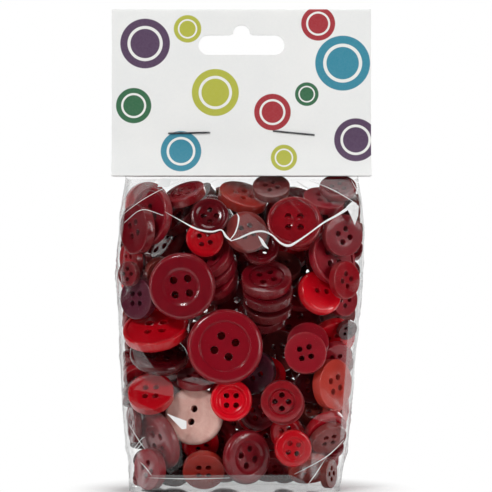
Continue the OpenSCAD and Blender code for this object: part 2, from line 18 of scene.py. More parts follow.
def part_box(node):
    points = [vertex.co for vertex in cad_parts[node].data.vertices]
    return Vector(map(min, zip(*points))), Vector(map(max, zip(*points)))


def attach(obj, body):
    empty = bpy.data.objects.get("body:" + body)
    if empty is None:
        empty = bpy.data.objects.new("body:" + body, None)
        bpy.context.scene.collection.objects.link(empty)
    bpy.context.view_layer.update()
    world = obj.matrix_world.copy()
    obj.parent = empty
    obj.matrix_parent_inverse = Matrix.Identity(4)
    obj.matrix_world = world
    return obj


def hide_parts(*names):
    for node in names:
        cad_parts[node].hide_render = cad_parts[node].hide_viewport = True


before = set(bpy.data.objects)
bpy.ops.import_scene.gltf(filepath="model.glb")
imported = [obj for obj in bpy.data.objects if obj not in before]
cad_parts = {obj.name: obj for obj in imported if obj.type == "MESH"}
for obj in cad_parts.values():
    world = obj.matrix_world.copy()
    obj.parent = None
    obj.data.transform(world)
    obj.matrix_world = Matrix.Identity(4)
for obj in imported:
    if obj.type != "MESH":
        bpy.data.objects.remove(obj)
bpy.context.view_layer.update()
MM = 0.001

# %% [markdown]
# ## Node trees as expressions
# Materials and Geometry Nodes are both trees of nodes. Wiring each node by hand takes many lines, so one
# small class stands for a socket: sums and products of sockets add Math nodes, and its `node` method adds
# any other node, with the settings first and then the values or links of its sockets.

# %% A socket with arithmetic


class Wire:
    """A socket of a node tree. Arithmetic on wires adds Math nodes to the tree."""

    def __init__(self, tree, socket=None):
        self.tree = tree
        self.socket = socket

    def node(self, kind, settings=None, sockets=None, out=0):
        """Adds a node and returns the wire of one of its outputs."""
        made = self.tree.nodes.new(kind)
        for name, value in (settings or {}).items():
            if name == "stops":
                set_stops(made.color_ramp, value)
            else:
                setattr(made, name, value)
        for key, value in (sockets or {}).items():
            if isinstance(value, Wire):
                self.tree.links.new(value.socket, made.inputs[key])
            else:
                made.inputs[key].default_value = value
        return Wire(self.tree, made.outputs[out] if made.outputs else None)

    def twin(self, out):
        """Another output of the node that this wire comes from."""
        return Wire(self.tree, self.socket.node.outputs[out])

    def math(self, operation, *values):
        return self.node("ShaderNodeMath", {"operation": operation}, dict(enumerate(values)))

    def __add__(self, other):
        return self.math("ADD", self, other)

    def __sub__(self, other):
        return self.math("SUBTRACT", self, other)

    def __rsub__(self, other):
        return self.math("SUBTRACT", other, self)

    def __mul__(self, other):
        return self.math("MULTIPLY", self, other)

    def __truediv__(self, other):
        return self.math("DIVIDE", self, other)

    def __pow__(self, other):
        return self.math("POWER", self, other)

    __radd__ = __add__
    __rmul__ = __mul__

    def between(self, low, high):
        """0 below low, 1 above high, and smooth between them."""
        return self.node(
            "ShaderNodeMapRange",
            {"interpolation_type": "SMOOTHSTEP"},
            {"Value": self, "From Min": low, "From Max": high},
        )

    def blend(self, first, second):
        """The first colour where this wire is 0 and the second where it is 1."""
        return self.node("ShaderNodeMix", {"data_type": "RGBA"}, {0: self, 6: first, 7: second}, out=2)

    def attribute(self, name, out="Fac"):
        """What the mesh carries under a name."""
        return self.node("ShaderNodeAttribute", {"attribute_name": name}, None, out)

    def object_place(self):
        """The place on the piece, in metres from the origin."""
        return self.node("ShaderNodeTexCoord", None, None, "Object")

    def noise(self, place, scale, detail, **more):
        """A cloudy pattern with values round 0.5."""
        sockets = {"Vector": place, "Scale": scale, "Detail": detail, **more}
        return self.node("ShaderNodeTexNoise", None, sockets)

    def bump(self, height, strength, depth):
        """Relief from a height, with its depth in mm, for a shader's Normal."""
        sockets = {"Strength": strength, "Distance": depth * MM, "Height": height}
        return self.node("ShaderNodeBump", None, sockets)

    def vector(self, operation, *values, out=0):
        """Arithmetic on vectors, which a Math node can't do."""
        return self.node("ShaderNodeVectorMath", {"operation": operation}, dict(enumerate(values)), out)


def set_stops(ramp, stops):
    """Gives a colour ramp its stops, as pairs of place and colour."""
    while len(ramp.elements) < len(stops):
        ramp.elements.new(1.0)
    for element, (place, tint) in zip(ramp.elements, stops):
        element.position = place
        element.color = tint


def paint(code):
    """Six hex digits as the linear colour that a shader takes."""
    parts = [int(code[i:i + 2], 16) / 255 for i in (0, 2, 4)]
    linear = [p / 12.92 if p <= 0.04045 else ((p + 0.055) / 1.055) ** 2.4 for p in parts]
    return (*linear, 1.0)


def new_finish(name):
    """A material with an empty tree, and the wire that its nodes start from."""
    material = bpy.data.materials.new(name)
    material.use_nodes = True
    material.node_tree.nodes.clear()
    return material, Wire(material.node_tree)


def close_finish(start, shader):
    """Ends a material's tree with its output."""
    start.node("ShaderNodeOutputMaterial", None, {"Surface": shader})


print("node helpers ready")

# %% [markdown]
# ## Reading the buttons from the frame
# Each CAD node holds several copies of one button model as separate solids. Their places could be typed in
# again, but then the two models could drift apart, so they are measured: the thinnest direction of a solid
# is the button's axis, the flat side is its back, and the sewing holes on that flat side give its turn.

# %% Separate the solids of a node


def loose_solids(node):
    """The triangles of each separate solid of a CAD node, as arrays of corner points."""
    bm = bmesh.new()
    bm.from_mesh(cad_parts[node].data)
    bmesh.ops.remove_doubles(bm, verts=bm.verts, dist=0.0005 * MM)
    solids = []
    waiting = set(bm.faces)
    for first in bm.faces:
        if first not in waiting:
            continue
        waiting.remove(first)
        patch = [first]
        for face in patch:
            for edge in face.edges:
                for other in edge.link_faces:
                    if other in waiting:
                        waiting.remove(other)
                        patch.append(other)
        solids.append(np.array([[v.co for v in f.verts] for f in patch], float))
    bm.free()
    return solids


print("solids of a staple:", len(loose_solids("staple_left")))

# %% Measure one button
# A triangle faces along the axis past this cosine. On the back, only sewing holes have corners inside this
# part of the radius. A corner lies on the back within this many mm of its plane.
FACE_ON = 0.8
HOLE_ZONE = 0.62
ON_BACK = 0.002


def measure_button(corners, holes):
    """The rotation, centre, radius and half thickness of a button, from its triangles."""
    sides = np.cross(corners[:, 1] - corners[:, 0], corners[:, 2] - corners[:, 0])
    area = np.linalg.norm(sides, axis=1) / 2
    total = corners.sum(1)
    middle = (total * area[:, None]).sum(0) / 3 / area.sum()
    spread = np.einsum("f,fvi,fvj->ij", area, corners, corners)
    spread = (spread + np.einsum("f,fi,fj->ij", area, total, total)) / 12 / area.sum()
    axis = np.linalg.eigh(spread - np.outer(middle, middle))[1][:, 0]

    points = corners.reshape(-1, 3)
    facing = sides @ axis / (2 * area)
    height = (total / 3 - middle) @ axis
    low, high = ((points - middle) @ axis).min(), ((points - middle) @ axis).max()
    top, bottom = facing > FACE_ON, facing < -FACE_ON
    hollow_top = np.average(high - height[top], weights=area[top])
    hollow_bottom = np.average(height[bottom] - low, weights=area[bottom])
    centre = middle + axis * (low + high) / 2
    if hollow_top < hollow_bottom:
        axis = -axis

    half = (high - low) / 2
    across = np.cross(axis, [0.0, 0.0, 1.0] if abs(axis[2]) < 0.9 else [1.0, 0.0, 0.0])
    across /= np.linalg.norm(across)
    up = np.cross(axis, across)
    local = (points - centre) @ np.array([across, up, axis]).T
    radius = np.hypot(local[:, 0], local[:, 1])
    on_back = (local[:, 2] < ON_BACK * MM - half) & (radius < HOLE_ZONE * radius.max())
    angle = np.arctan2(local[on_back, 1], local[on_back, 0])
    turn = np.angle(np.exp(1j * holes * angle).sum()) / holes
    hole_way = across * math.cos(turn) + up * math.sin(turn)
    rotation = Matrix(np.array([hole_way, np.cross(axis, hole_way), axis]).T.tolist())
    return rotation, centre, radius.max(), half


sample = measure_button(loose_solids("buttons_crimson_rimmed_36")[0], 4)
print("the large rimmed button's radius and half thickness in mm:", [round(v / MM, 2) for v in sample[2:]])

# %% Measure all the buttons
HOLE_COUNT = {"domed": 2}
buttons = {}
for node in sorted(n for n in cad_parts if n.startswith("buttons_")):
    tint, style, ligne = node.split("_")[1:]
    found = [measure_button(s, HOLE_COUNT.get(style, 4)) for s in loose_solids(node)]
    found.sort(key=lambda copy: [round(v / MM, 2) for v in copy[1]])
    buttons[node] = {"tint": tint, "style": style, "ligne": int(ligne), "copies": found}
print("models:", len(buttons), "buttons:", sum(len(b["copies"]) for b in buttons.values()))

# %% [markdown]
# ## Small buttons in the gaps
# A real bag also holds small shirt buttons, which slip into the spaces between the large ones, so that little
# light comes through the pile. Rays from the front find the chinks. Behind each, or a little beside it, a
# thin disc is tried at many depths and leans, and the largest that hides the chink and touches nothing stays.

# %% Rays and room
# In mm: how far off a ray starts, the part of the front view that is searched, the step between two rays, and
# the least depth of the bag where a chink counts.
RAY_START = 100
PILE_X = 36.5
PILE_Z = (3, 92)
CHINK_STEP = 1.0
LEAST_DEPTH = 6


def search_tree(nodes):
    """A search tree over the meshes of some CAD nodes."""
    points, faces = [], []
    for node in nodes:
        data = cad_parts[node].data
        first = len(points)
        points += [v.co.copy() for v in data.vertices]
        faces += [tuple(first + i for i in p.vertices) for p in data.polygons]
    return BVHTree.FromPolygons(points, faces)


pile_solids = search_tree(buttons)
cad_tree = search_tree(["film_bag"])
INWARD = Vector((0, 1, 0))


def seen_at(tree, x, z, side=1):
    """The first surface at a point of the front view, from the front or, with side -1, from the back."""
    return tree.ray_cast(Vector((x, -RAY_START * side, z)) * MM, INWARD * side)[0]


def film_depths(x, z):
    """How deep the CAD film's front and back lie at a point of the front view, in mm, or nothing."""
    hits = [seen_at(cad_tree, x, z, side) for side in (1, -1)]
    return None if hits[0] is None else [hit.y / MM for hit in hits]


def chinks():
    """Points of the front view where the eye passes the whole pile, as x, z and the film's depths in mm."""
    found = []
    for x in np.arange(-PILE_X, PILE_X + CHINK_STEP / 2, CHINK_STEP):
        for z in np.arange(*PILE_Z, CHINK_STEP):
            film = film_depths(x, z)
            if film and film[1] - film[0] > LEAST_DEPTH and seen_at(pile_solids, x, z) is None:
                found.append((x, z, *film))
    return found


gaps = chinks()
print("chinks:", len(gaps))

# %% Room for a disc
# The discs' sizes in lignes, the trade's unit, each with its thickness in mm.
FILLERS = {18: 2.5, 16: 2.4, 14: 2.2, 12: 2.0, 10: 1.8}
LIGNE_MM = 0.635
# These tints are dark. The discs are real and block light, but their darkness paints the shade deep in the
# gaps.
FILLER_SHADOW_TINTS = ("maroon", "burgundy", "umber")
FILLER_CLEAR = 0.15
FILM_ROOM = 0.6
DISC_ANGLES = np.arange(14) * 2 * math.pi / 14
DISC_POINTS = [(0, 0)] + [(math.cos(a) * s, math.sin(a) * s) for s in (1, 0.55) for a in DISC_ANGLES]


def disc_samples(rotation, centre, r, half):
    """Points all over a disc's two faces, in mm, one at a time, so that most tries end at the first."""
    for x, y in DISC_POINTS:
        for side in (-1, 1):
            yield centre + rotation @ Vector((x * r, y * r, side * half))


def is_clear(p, room):
    """Whether a point lies outside all buttons with some room, in mm."""
    place, facing, _, away = pile_solids.find_nearest(p * MM)
    return away > room * MM and (p * MM - place).dot(facing) > 0


def is_free(samples, placed):
    """Whether all the points stay outside the buttons, inside the film and off the discs placed before."""
    for p in samples:
        if not is_clear(p, FILLER_CLEAR):
            return False
        film = film_depths(p.x, p.z)
        if not film or not film[0] + FILM_ROOM < p.y < film[1] - FILM_ROOM:
            return False
        if cad_tree.find_nearest(p * MM)[3] < FILM_ROOM * MM:
            return False
        for rotation, centre, r, half in placed:
            local = rotation.transposed() @ (p - centre)
            if abs(local.z) < half + FILLER_CLEAR and math.hypot(local.x, local.y) < r + FILLER_CLEAR:
                return False
    return True


print("points tried on a disc:", 2 * len(DISC_POINTS))

# %% Set small buttons behind the chinks
# In mm: the foremost depth of a filler's middle, its room to the film, the step between two tries, and how
# far beside the chink it may stand. A disc nearly edge-on hides nothing, and its outermost part isn't counted.
FILLER_FRONT = -8
DEPTH_ROOM = 2
DEPTH_STEP = 1.5
BESIDE = [(0, 0), (2.4, 0), (-2.4, 0), (0, 2.4), (0, -2.4)]
FILLER_TURNS = [
    Matrix.Rotation(math.radians(face), 3, "Y") @ Matrix.Rotation(math.radians(90 - lean), 3, "X")
    for lean in (15, 40, 65) for face in range(0, 360, 45)
]
EDGE_ON = 0.05
COVER = 0.95


def covers(disc, x, z):
    """Whether a disc hides a point of the front view."""
    rotation, centre, r, _ = disc
    axis = rotation.col[2]
    if abs(axis.y) < EDGE_ON:
        return False
    y = centre.y - ((x - centre.x) * axis.x + (z - centre.z) * axis.z) / axis.y
    return (Vector((x, y, z)) - centre).length < COVER * r


def fill_gap(x, z, near, far, placed):
    """The largest free disc behind a chink, or nothing."""
    for ligne, thick in FILLERS.items():
        r, half = ligne * LIGNE_MM / 2, thick / 2
        for dx, dz in BESIDE:
            for y in np.arange(max(near + DEPTH_ROOM, FILLER_FRONT), far - DEPTH_ROOM, DEPTH_STEP):
                centre = Vector((x + dx, y, z + dz))
                turns = FILLER_TURNS if is_clear(centre, half) else []
                for turn in turns:
                    disc = (turn, centre, r, half)
                    if covers(disc, x, z) and is_free(disc_samples(*disc), placed):
                        return ligne, disc
    return None


def is_hidden(x, z):
    """Whether a disc placed so far hides a point of the front view."""
    return any(covers(disc, x, z) for disc in placed)


placed = []
for x, z, near, far in gaps:
    found = None if is_hidden(x, z) else fill_gap(x, z, near, far, placed)
    if found:
        ligne, (turn, centre, r, half) = found
        placed.append(found[1])
        tint = FILLER_SHADOW_TINTS[len(placed) % len(FILLER_SHADOW_TINTS)]
        model = {"tint": tint, "style": "flat", "ligne": ligne, "copies": []}
        model = buttons.setdefault(f"fillers_{tint}_flat_{ligne}", model)
        model["copies"].append((turn, np.array(centre) * MM, r * MM, half * MM))
left_open = [gap for gap in gaps if not is_hidden(*gap[:2])]
print("fillers:", len(placed), "chinks left:", len(left_open))

# %% [markdown]
# ## The form of a button
# Buttons are turned or moulded, so a half section spun round the axis is the true way to make one. The
# sections are corner points with a rounding each. A Geometry Nodes tree spins the section, cuts the sewing
# holes with a spool-shaped tool whose flared ends leave round edges, and sets a copy at each measured place.

# %% Sections as rounded corners
RIM_W = 3.6
LIP_W = 1.1
FRAME_W = 1.9
STEP_W = 2.2
WELL = 0.6
BEVEL = 0.4
EDGE = 0.25
# The diameter of the sewing holes and the distance between their middles, in mm, for each size in lignes.
HOLE_SIZES = {
    10: (1.1, 1.9), 12: (1.3, 2.2), 14: (1.4, 2.3), 16: (1.5, 2.5), 18: (1.6, 2.7), 20: (1.7, 2.9),
    22: (1.8, 3.2), 24: (1.9, 3.4), 26: (2.0, 3.7), 28: (2.1, 4.0), 32: (2.3, 4.4), 36: (2.4, 4.8),
}
FLARE = 0.22


def rounded(corners, steps=5):
    """A line through corner points in mm, each an x, a y and a rounding radius, with its corners rounded."""
    line = []
    last = len(corners) - 1
    for i, (x, y, r) in enumerate(corners):
        here = Vector((x, y))
        if r == 0 or i in (0, last):
            line.append(here)
            continue
        before = Vector(corners[i - 1][:2]) - here
        after = Vector(corners[i + 1][:2]) - here
        half_angle = before.angle(after) / 2
        cut = min(r / math.tan(half_angle), 0.49 * before.length, 0.49 * after.length)
        start, end = here + before.normalized() * cut, here + after.normalized() * cut
        for k in range(steps + 1):
            t = k / steps
            weight = math.sin(half_angle)
            parts = ((1 - t) ** 2, 2 * t * (1 - t) * weight, t ** 2)
            line.append((start * parts[0] + here * parts[1] + end * parts[2]) / sum(parts))
    return line


def button_section(style, r, h, well_r):
    """Corners of a button's half section in mm, from the back's middle to the front's middle."""
    soft, dip = 0.8 * h, h - WELL
    back = [(0, -h, 0), (r, -h, EDGE if style in ("flat", "stepped", "domed") else soft)]
    if style == "flat":
        front = [(r, h, EDGE), (0.5 * r, h - 0.06, 2), (0, h - 0.15, 0)]
    elif style == "rimmed":
        front = [(r, h, soft), (r - RIM_W, h, 0.3), (r - RIM_W - BEVEL, dip, 0.3), (0, dip - 0.1, 0)]
    elif style == "dished":
        front = [(r, h, soft), (well_r + 3 * BEVEL, h, 1), (well_r + BEVEL, h - 0.7 * WELL, 0.5),
                 (well_r - BEVEL, dip, 0.5), (0, dip, 0)]
    elif style == "lipped":
        front = [(r, h, LIP_W / 2), (r - LIP_W, h, LIP_W / 2), (r - LIP_W - BEVEL / 2, dip, 0.25),
                 (0, dip + 0.1, 0)]
    elif style == "stepped":
        front = [(r, h, EDGE), (r - STEP_W, h, 0.15), (r - STEP_W - BEVEL / 2, dip, 0.1),
                 (r - STEP_W - 1.5 * BEVEL, dip, 0.1), (r - STEP_W - 2 * BEVEL, h - 0.2, 0.15),
                 (0, h - 0.2, 0)]
    elif style == "framed":
        front = [(r, h, FRAME_W / 2), (r - FRAME_W, h, 0.8), (r - FRAME_W, dip, 0.15),
                 (well_r + BEVEL, dip + 0.15, 0.3), (well_r, dip, 0.3), (0, dip, 0)]
    elif style == "domed":
        front = [(r, 0, 1), (r - 0.14 * h, 0.5 * h, 1), (r - 0.5 * h, 0.86 * h, 2), (0.6 * r, h - 0.1, 4),
                 (0.3 * r, h, 4), (0, h, 0)]
    else:
        front = [(r, h, soft), (well_r + BEVEL, h, 0.3), (well_r, dip, 0.3), (0, dip, 0)]
    return back + front


def hole_tool(r, h, floor_h):
    """Half section of the spool that cuts a sewing hole, flared where it leaves the button, in mm."""
    wide, past = r + FLARE, h + 1
    return rounded([
        (0, -past, 0), (wide, -past, 0), (wide, -h, 0), (r, -h, FLARE), (r, floor_h, FLARE),
        (wide, floor_h, 0), (wide, past, 0), (0, past, 0),
    ], 4)


def section_object(name, line):
    """A line of points in mm as a mesh in metres, which the tree reads point by point."""
    mesh = bpy.data.meshes.new(name)
    mesh.from_pydata([(p[0] * MM, p[1] * MM, 0) for p in line], [], [])
    return bpy.data.objects.new(name, mesh)


print("styles:", sorted({b["style"] for b in buttons.values()}))

# %% A tree that spins a section


def tree_with(name, inputs):
    """A Geometry Nodes tree with named inputs, as a start wire and the wires of its inputs."""
    tree = bpy.data.node_groups.new(name, "GeometryNodeTree")
    for title, kind, value in inputs:
        socket = tree.interface.new_socket(title, in_out="INPUT", socket_type=kind)
        if value is not None:
            socket.default_value = value
    tree.interface.new_socket("Geometry", in_out="OUTPUT", socket_type="NodeSocketGeometry")
    start = Wire(tree)
    entry = start.node("NodeGroupInput")
    return tree, start, {title: entry.twin(title) for title, _, _ in inputs}


spin_tree, spin, given = tree_with("spin_section", [
    ("Section", "NodeSocketObject", None),
    ("Segments", "NodeSocketInt", 72),
])
section = spin.node("GeometryNodeObjectInfo", None, {"Object": given["Section"]}, out="Geometry")
rows = spin.node("GeometryNodeAttributeDomainSize", None, {0: section}, out="Point Count")
grid = spin.node(
    "GeometryNodeMeshGrid", None, {"Vertices X": given["Segments"] + 1, "Vertices Y": rows}, out="Mesh"
)
index = spin.node("GeometryNodeInputIndex")
column = (index / rows).math("FLOOR", index / rows)
row = index - column * rows
corner = spin.node(
    "GeometryNodeSampleIndex",
    {"data_type": "FLOAT_VECTOR"},
    {0: section, "Value": spin.node("GeometryNodeInputPosition"), "Index": row},
)
apart = spin.node("ShaderNodeSeparateXYZ", None, {0: corner})
angle = column * (2 * math.pi) / given["Segments"]
place = spin.node("ShaderNodeCombineXYZ", None, {
    0: apart.twin("X") * angle.math("COSINE", angle),
    1: apart.twin("X") * angle.math("SINE", angle),
    2: apart.twin("Y"),
})
spun = spin.node("GeometryNodeSetPosition", None, {"Geometry": grid, "Position": place})
welded = spin.node("GeometryNodeMergeByDistance", None, {"Geometry": spun, "Distance": 0.0002 * MM})
spin.node("NodeGroupOutput", None, {0: welded})
print("spin tree:", len(spin_tree.nodes), "nodes")

# %% A tree that makes the buttons of one model
pile_tree, pile, given = tree_with("button_pile", [
    ("Places", "NodeSocketGeometry", None),
    ("Section", "NodeSocketObject", None),
    ("Hole tool", "NodeSocketObject", None),
    ("Segments", "NodeSocketInt", 72),
    ("Radius", "NodeSocketFloat", 0.006),
    ("Hole count", "NodeSocketInt", 4),
    ("Hole reach", "NodeSocketFloat", 0.002),
    ("Sharp angle", "NodeSocketFloat", math.radians(38)),
    ("Finish", "NodeSocketMaterial", None),
])
SPIN = {"node_tree": spin_tree}
body = pile.node("GeometryNodeGroup", SPIN, {"Section": given["Section"], "Segments": given["Segments"]})
tool = pile.node("GeometryNodeGroup", SPIN, {"Section": given["Hole tool"], "Segments": 24})
hole_angle = pile.node("GeometryNodeInputIndex") * (2 * math.pi) / given["Hole count"]
hole_place = pile.node("ShaderNodeCombineXYZ", None, {
    0: given["Hole reach"] * hole_angle.math("COSINE", hole_angle),
    1: given["Hole reach"] * hole_angle.math("SINE", hole_angle),
})
ring = pile.node("GeometryNodePoints", None, {"Count": given["Hole count"], "Position": hole_place})
tools = pile.node("GeometryNodeInstanceOnPoints", None, {"Points": ring, "Instance": tool})
tools = pile.node("GeometryNodeRealizeInstances", None, {0: tools})
drilled = pile.node(
    "GeometryNodeMeshBoolean",
    {"operation": "DIFFERENCE", "solver": "EXACT"},
    {"Mesh 1": body, "Mesh 2": tools},
)
drilled = pile.node("GeometryNodeSetShadeSmooth", {"domain": "FACE"}, {0: drilled, "Shade Smooth": True})
edge_angle = pile.node("GeometryNodeInputMeshEdgeAngle", None, None, out="Unsigned Angle")
drilled = pile.node(
    "GeometryNodeSetShadeSmooth",
    {"domain": "EDGE"},
    {0: drilled, "Shade Smooth": edge_angle.math("LESS_THAN", edge_angle, given["Sharp angle"])},
)
spot = pile.node("GeometryNodeInputPosition")
from_axis = pile.vector("LENGTH", pile.vector("MULTIPLY", spot, (1, 1, 0)), out="Value")
drilled = pile.node(
    "GeometryNodeStoreNamedAttribute",
    {"data_type": "FLOAT", "domain": "POINT"},
    {"Geometry": drilled, "Name": "across", "Value": from_axis / given["Radius"]},
)
drilled = pile.node(
    "GeometryNodeStoreNamedAttribute",
    {"data_type": "FLOAT_VECTOR", "domain": "POINT"},
    {"Geometry": drilled, "Name": "grain", "Value": spot},
)
turn = pile.node("GeometryNodeInputNamedAttribute", {"data_type": "QUATERNION"}, {"Name": "turn"})
copies = pile.node(
    "GeometryNodeInstanceOnPoints",
    None,
    {"Points": given["Places"], "Instance": drilled, "Rotation": turn},
)
copies = pile.node("GeometryNodeRealizeInstances", None, {0: copies})
copies = pile.node("GeometryNodeSetMaterial", None, {"Geometry": copies, "Material": given["Finish"]})
pile.node("NodeGroupOutput", None, {0: copies})
print("button tree:", len(pile_tree.nodes), "nodes")

# %% [markdown]
# ## The plastic of the buttons
# Sewing buttons are cast or moulded from polyester and polished in a drum, so they have a soft gloss, a
# slightly cloudy body and small scratches. A single red would look like paint. Each copy gets a tone of its
# own, clouds drift through the body, the outer rim is a little lighter where polish has
# thinned the colour, and scratches and dust break up the gloss.

# %% The plastic finish
PLASTICS = {
    "crimson": ("8c071b", "680414", 0.32, 0.25),
    "red": ("a80619", "780411", 0.30, 0.35),
    "scarlet": ("dc091e", "b40615", 0.22, 0.20),
    "burgundy": ("960e20", "640913", 0.36, 0.40),
    "maroon": ("6e0815", "40040b", 0.24, 0.45),
    "rosewood": ("80302e", "561c1c", 0.34, 0.50),
    "coral": ("b83225", "861a13", 0.38, 0.40),
    "pearl": ("f2cabe", "d69a8e", 0.16, 0.60),
    "plum": ("56152a", "330a18", 0.30, 0.35),
    "umber": ("7c2f28", "521a16", 0.28, 0.50),
}


def plastic_finish(name):
    """Polished button plastic with a tone for each copy, clouds, a worn rim and fine scratches."""
    light, deep, rough, clouds = PLASTICS[name]
    material, start = new_finish(name + "_plastic")
    tone, across = start.attribute("tone"), start.attribute("across")
    apart = start.node("ShaderNodeCombineXYZ", None, {0: tone, 1: tone * 3.7, 2: tone * 7.1})
    drift = start.vector("ADD", start.attribute("grain", "Vector"), apart)
    cloud = start.noise(drift, 260.0, 4.0, Roughness=0.6, Distortion=0.8)
    shade = (cloud - 0.5) * clouds * 2.2 + (tone - 0.5) * 0.9 + 0.45
    body = shade.between(0.0, 1.0).blend(paint(light), paint(deep))
    worn = across.between(0.86, 0.98) * cloud.between(0.35, 0.7) * 0.1
    body = worn.blend(body, paint("d88a84"))
    dust = start.noise(drift, 2600.0, 3.0, Roughness=0.7)
    scratch = start.noise(start.vector("MULTIPLY", drift, (1, 9, 1)), 900.0, 2.0)
    shader = start.node("ShaderNodeBsdfPrincipled", None, {
        "Base Color": body,
        "Roughness": rough + (dust - 0.5) * 0.22 + (scratch - 0.5) * 0.16,
        "Specular IOR Level": 0.2,
        "Coat Weight": 0.6,
        "Coat Roughness": 0.07,
        "Subsurface Weight": 0.08,
        "Subsurface Radius": (0.004, 0.001, 0.001),
        "Subsurface Scale": 0.4,
        "Normal": start.bump(cloud * 0.6 + scratch * 0.3 + dust * 0.2, 0.12, 0.05),
    })
    close_finish(start, shader)
    return material


plastics = {name: plastic_finish(name) for name in sorted({b["tint"] for b in buttons.values()})}
print("plastics:", sorted(plastics))

# %% Objects and meshes


def linked(name, data):
    """A new object with some data, linked to the scene."""
    made = bpy.data.objects.new(name, data)
    bpy.context.scene.collection.objects.link(made)
    return made


def plain_mesh(carrier, name):
    """The evaluated mesh of an object as a plain mesh in a new object."""
    bpy.context.view_layer.update()
    graph = bpy.context.evaluated_depsgraph_get()
    mesh = bpy.data.meshes.new_from_object(carrier.evaluated_get(graph))
    mesh.name = name
    return linked(name, mesh)


def store(mesh, name, values):
    """Gives each point of a mesh a number under a name, for trees and materials to read."""
    mesh.attributes.new(name, "FLOAT", "POINT").data.foreach_set("value", values)


def set_inputs(modifier, values):
    """Sets a Geometry Nodes modifier's inputs through their identifiers."""
    for socket in modifier.node_group.interface.items_tree:
        if socket.item_type == "SOCKET" and socket.in_out == "INPUT" and socket.name in values:
            modifier[socket.identifier] = values[socket.name]


def places_object(name, copies, tones):
    """Points at the buttons' centres that carry each button's turn and tone."""
    mesh = bpy.data.meshes.new(name)
    mesh.from_pydata([c[1].tolist() for c in copies], [], [])
    turns = mesh.attributes.new("turn", "QUATERNION", "POINT")
    for item, copy in zip(turns.data, copies):
        item.value = copy[0].to_quaternion()
    store(mesh, "tone", tones)
    return linked(name, mesh)


print("mesh helpers ready")

# %% Make the buttons of every model
TONE_SEED = 20930
LARGE_R = 8
SEGMENTS_LARGE, SEGMENTS_SMALL = 72, 60
chance = np.random.default_rng(TONE_SEED)
button_pieces = {}
for node, model in buttons.items():
    radius, half = model["copies"][0][2:]
    hole_d, spacing = HOLE_SIZES[model["ligne"]]
    count = HOLE_COUNT.get(model["style"], 4)
    reach = spacing / 2 if count == 2 else spacing / math.sqrt(2)
    well_r = spacing / math.sqrt(2) + hole_d / 2 + BEVEL
    r, h = radius / MM, half / MM
    corners = button_section(model["style"], r, h, well_r)
    profile = section_object("section", rounded(corners))
    tool_shape = section_object("hole_tool", hole_tool(hole_d / 2, h, corners[-1][1]))
    tones = chance.uniform(0, 1, len(model["copies"]))
    carrier = places_object("places", model["copies"], tones)
    modifier = carrier.modifiers.new("buttons", "NODES")
    modifier.node_group = pile_tree
    set_inputs(modifier, {
        "Section": profile, "Hole tool": tool_shape, "Radius": radius,
        "Segments": SEGMENTS_LARGE if r > LARGE_R else SEGMENTS_SMALL,
        "Hole count": count, "Hole reach": reach * MM, "Finish": plastics[model["tint"]],
    })
    piece = plain_mesh(carrier, node.replace("buttons_", "turned_"))
    for done in (carrier, profile, tool_shape):
        bpy.data.objects.remove(done)
    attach(piece, "root")
    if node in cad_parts:
        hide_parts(node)
    model["tint"] + "_plastic"
    button_pieces[node] = piece
faces = {n: sum(len(p.vertices) - 2 for p in o.data.polygons) for n, o in button_pieces.items()}
print("button triangles:", sum(faces.values()), "largest piece:", max(faces.values()))

# %% [markdown]
# ## The film as a stretched sheet
# A full bag pulls its film tight. Between the buttons that hold it out, the film runs in flat facets that
# meet in creases, and that is the shape of the convex hull of the points that it touches. Cloth simulation
# would find the same form slowly, so the hull is built at once. Rays then carry it onto a regular grid, which
# can take fine creases and an even thickness.

# %% Points that hold the film out
# The play round a button and the heights of foot, neck and mouth, in mm. Then the steps round the bag and the
# power of its oblong section: 2 would be an ellipse, and more comes nearer to a rectangle.
FILM_PLAY = 0.2
FOOT_Z = 0.6
NECK_Z = 95.3
MOUTH_Z = 114
AROUND = 300
OBLONG = 4


def edge_points(copy, steps=20):
    """Points on both edges of a button, grown by the play between button and film."""
    rotation, centre, radius, half = copy
    angles = np.arange(steps) * 2 * math.pi / steps
    reach, rise = radius + FILM_PLAY * MM, half + FILM_PLAY * MM
    flat = np.array([np.cos(angles) * reach, np.sin(angles) * reach, np.zeros(steps)])
    turned = np.array(rotation) @ flat
    lift = np.array(rotation)[:, 2:3] * rise
    return np.concatenate([(turned + lift).T, (turned - lift).T]) + centre


cad_points = np.array([v.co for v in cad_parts["film_bag"].data.vertices])


def oblong_ways(count):
    """Evenly spaced directions round the bag's oblong section, as parts of its half width and depth."""
    a = np.linspace(0, 2 * math.pi, 4000, endpoint=False)
    stretch = (np.abs(np.cos(a)) ** OBLONG + np.abs(np.sin(a)) ** OBLONG) ** (-1 / OBLONG)
    line = np.array([np.cos(a) * stretch * HALF_W, np.sin(a) * stretch * HALF_D]).T
    step = np.linalg.norm(np.roll(line, -1, 0) - line, axis=1)
    run = np.concatenate([[0], np.cumsum(step)[:-1]])
    wanted = np.arange(count) / count * step.sum()
    return np.array([np.interp(wanted, run, line[:, k]) for k in (0, 1)]).T, step.sum()


HALF_W, HALF_D = (np.abs(cad_points).max(0) / MM)[:2]
ways, perimeter = oblong_ways(AROUND)


def cad_middle(z):
    """The middle of the CAD film between its left and right sides at a height, in mm."""
    sides = []
    for side in (-1, 1):
        hit = cad_tree.ray_cast(Vector((side * 0.1, 0, z * MM)), Vector((-side, 0, 0)))[0]
        sides.append(hit.x / MM)
    return sum(sides) / 2


def cad_film_at(way, z):
    """The outside of the CAD film in a direction from the bag's middle at a height, in mm."""
    centre = Vector((cad_middle(z), 0, z))
    out = Vector((way[0], way[1], 0))
    hit = cad_tree.ray_cast((centre + out * 2) * MM, -out)[0]
    return np.array(hit) / MM


print("film perimeter in mm:", round(perimeter, 1), "half sizes:", round(HALF_W, 1), round(HALF_D, 1))

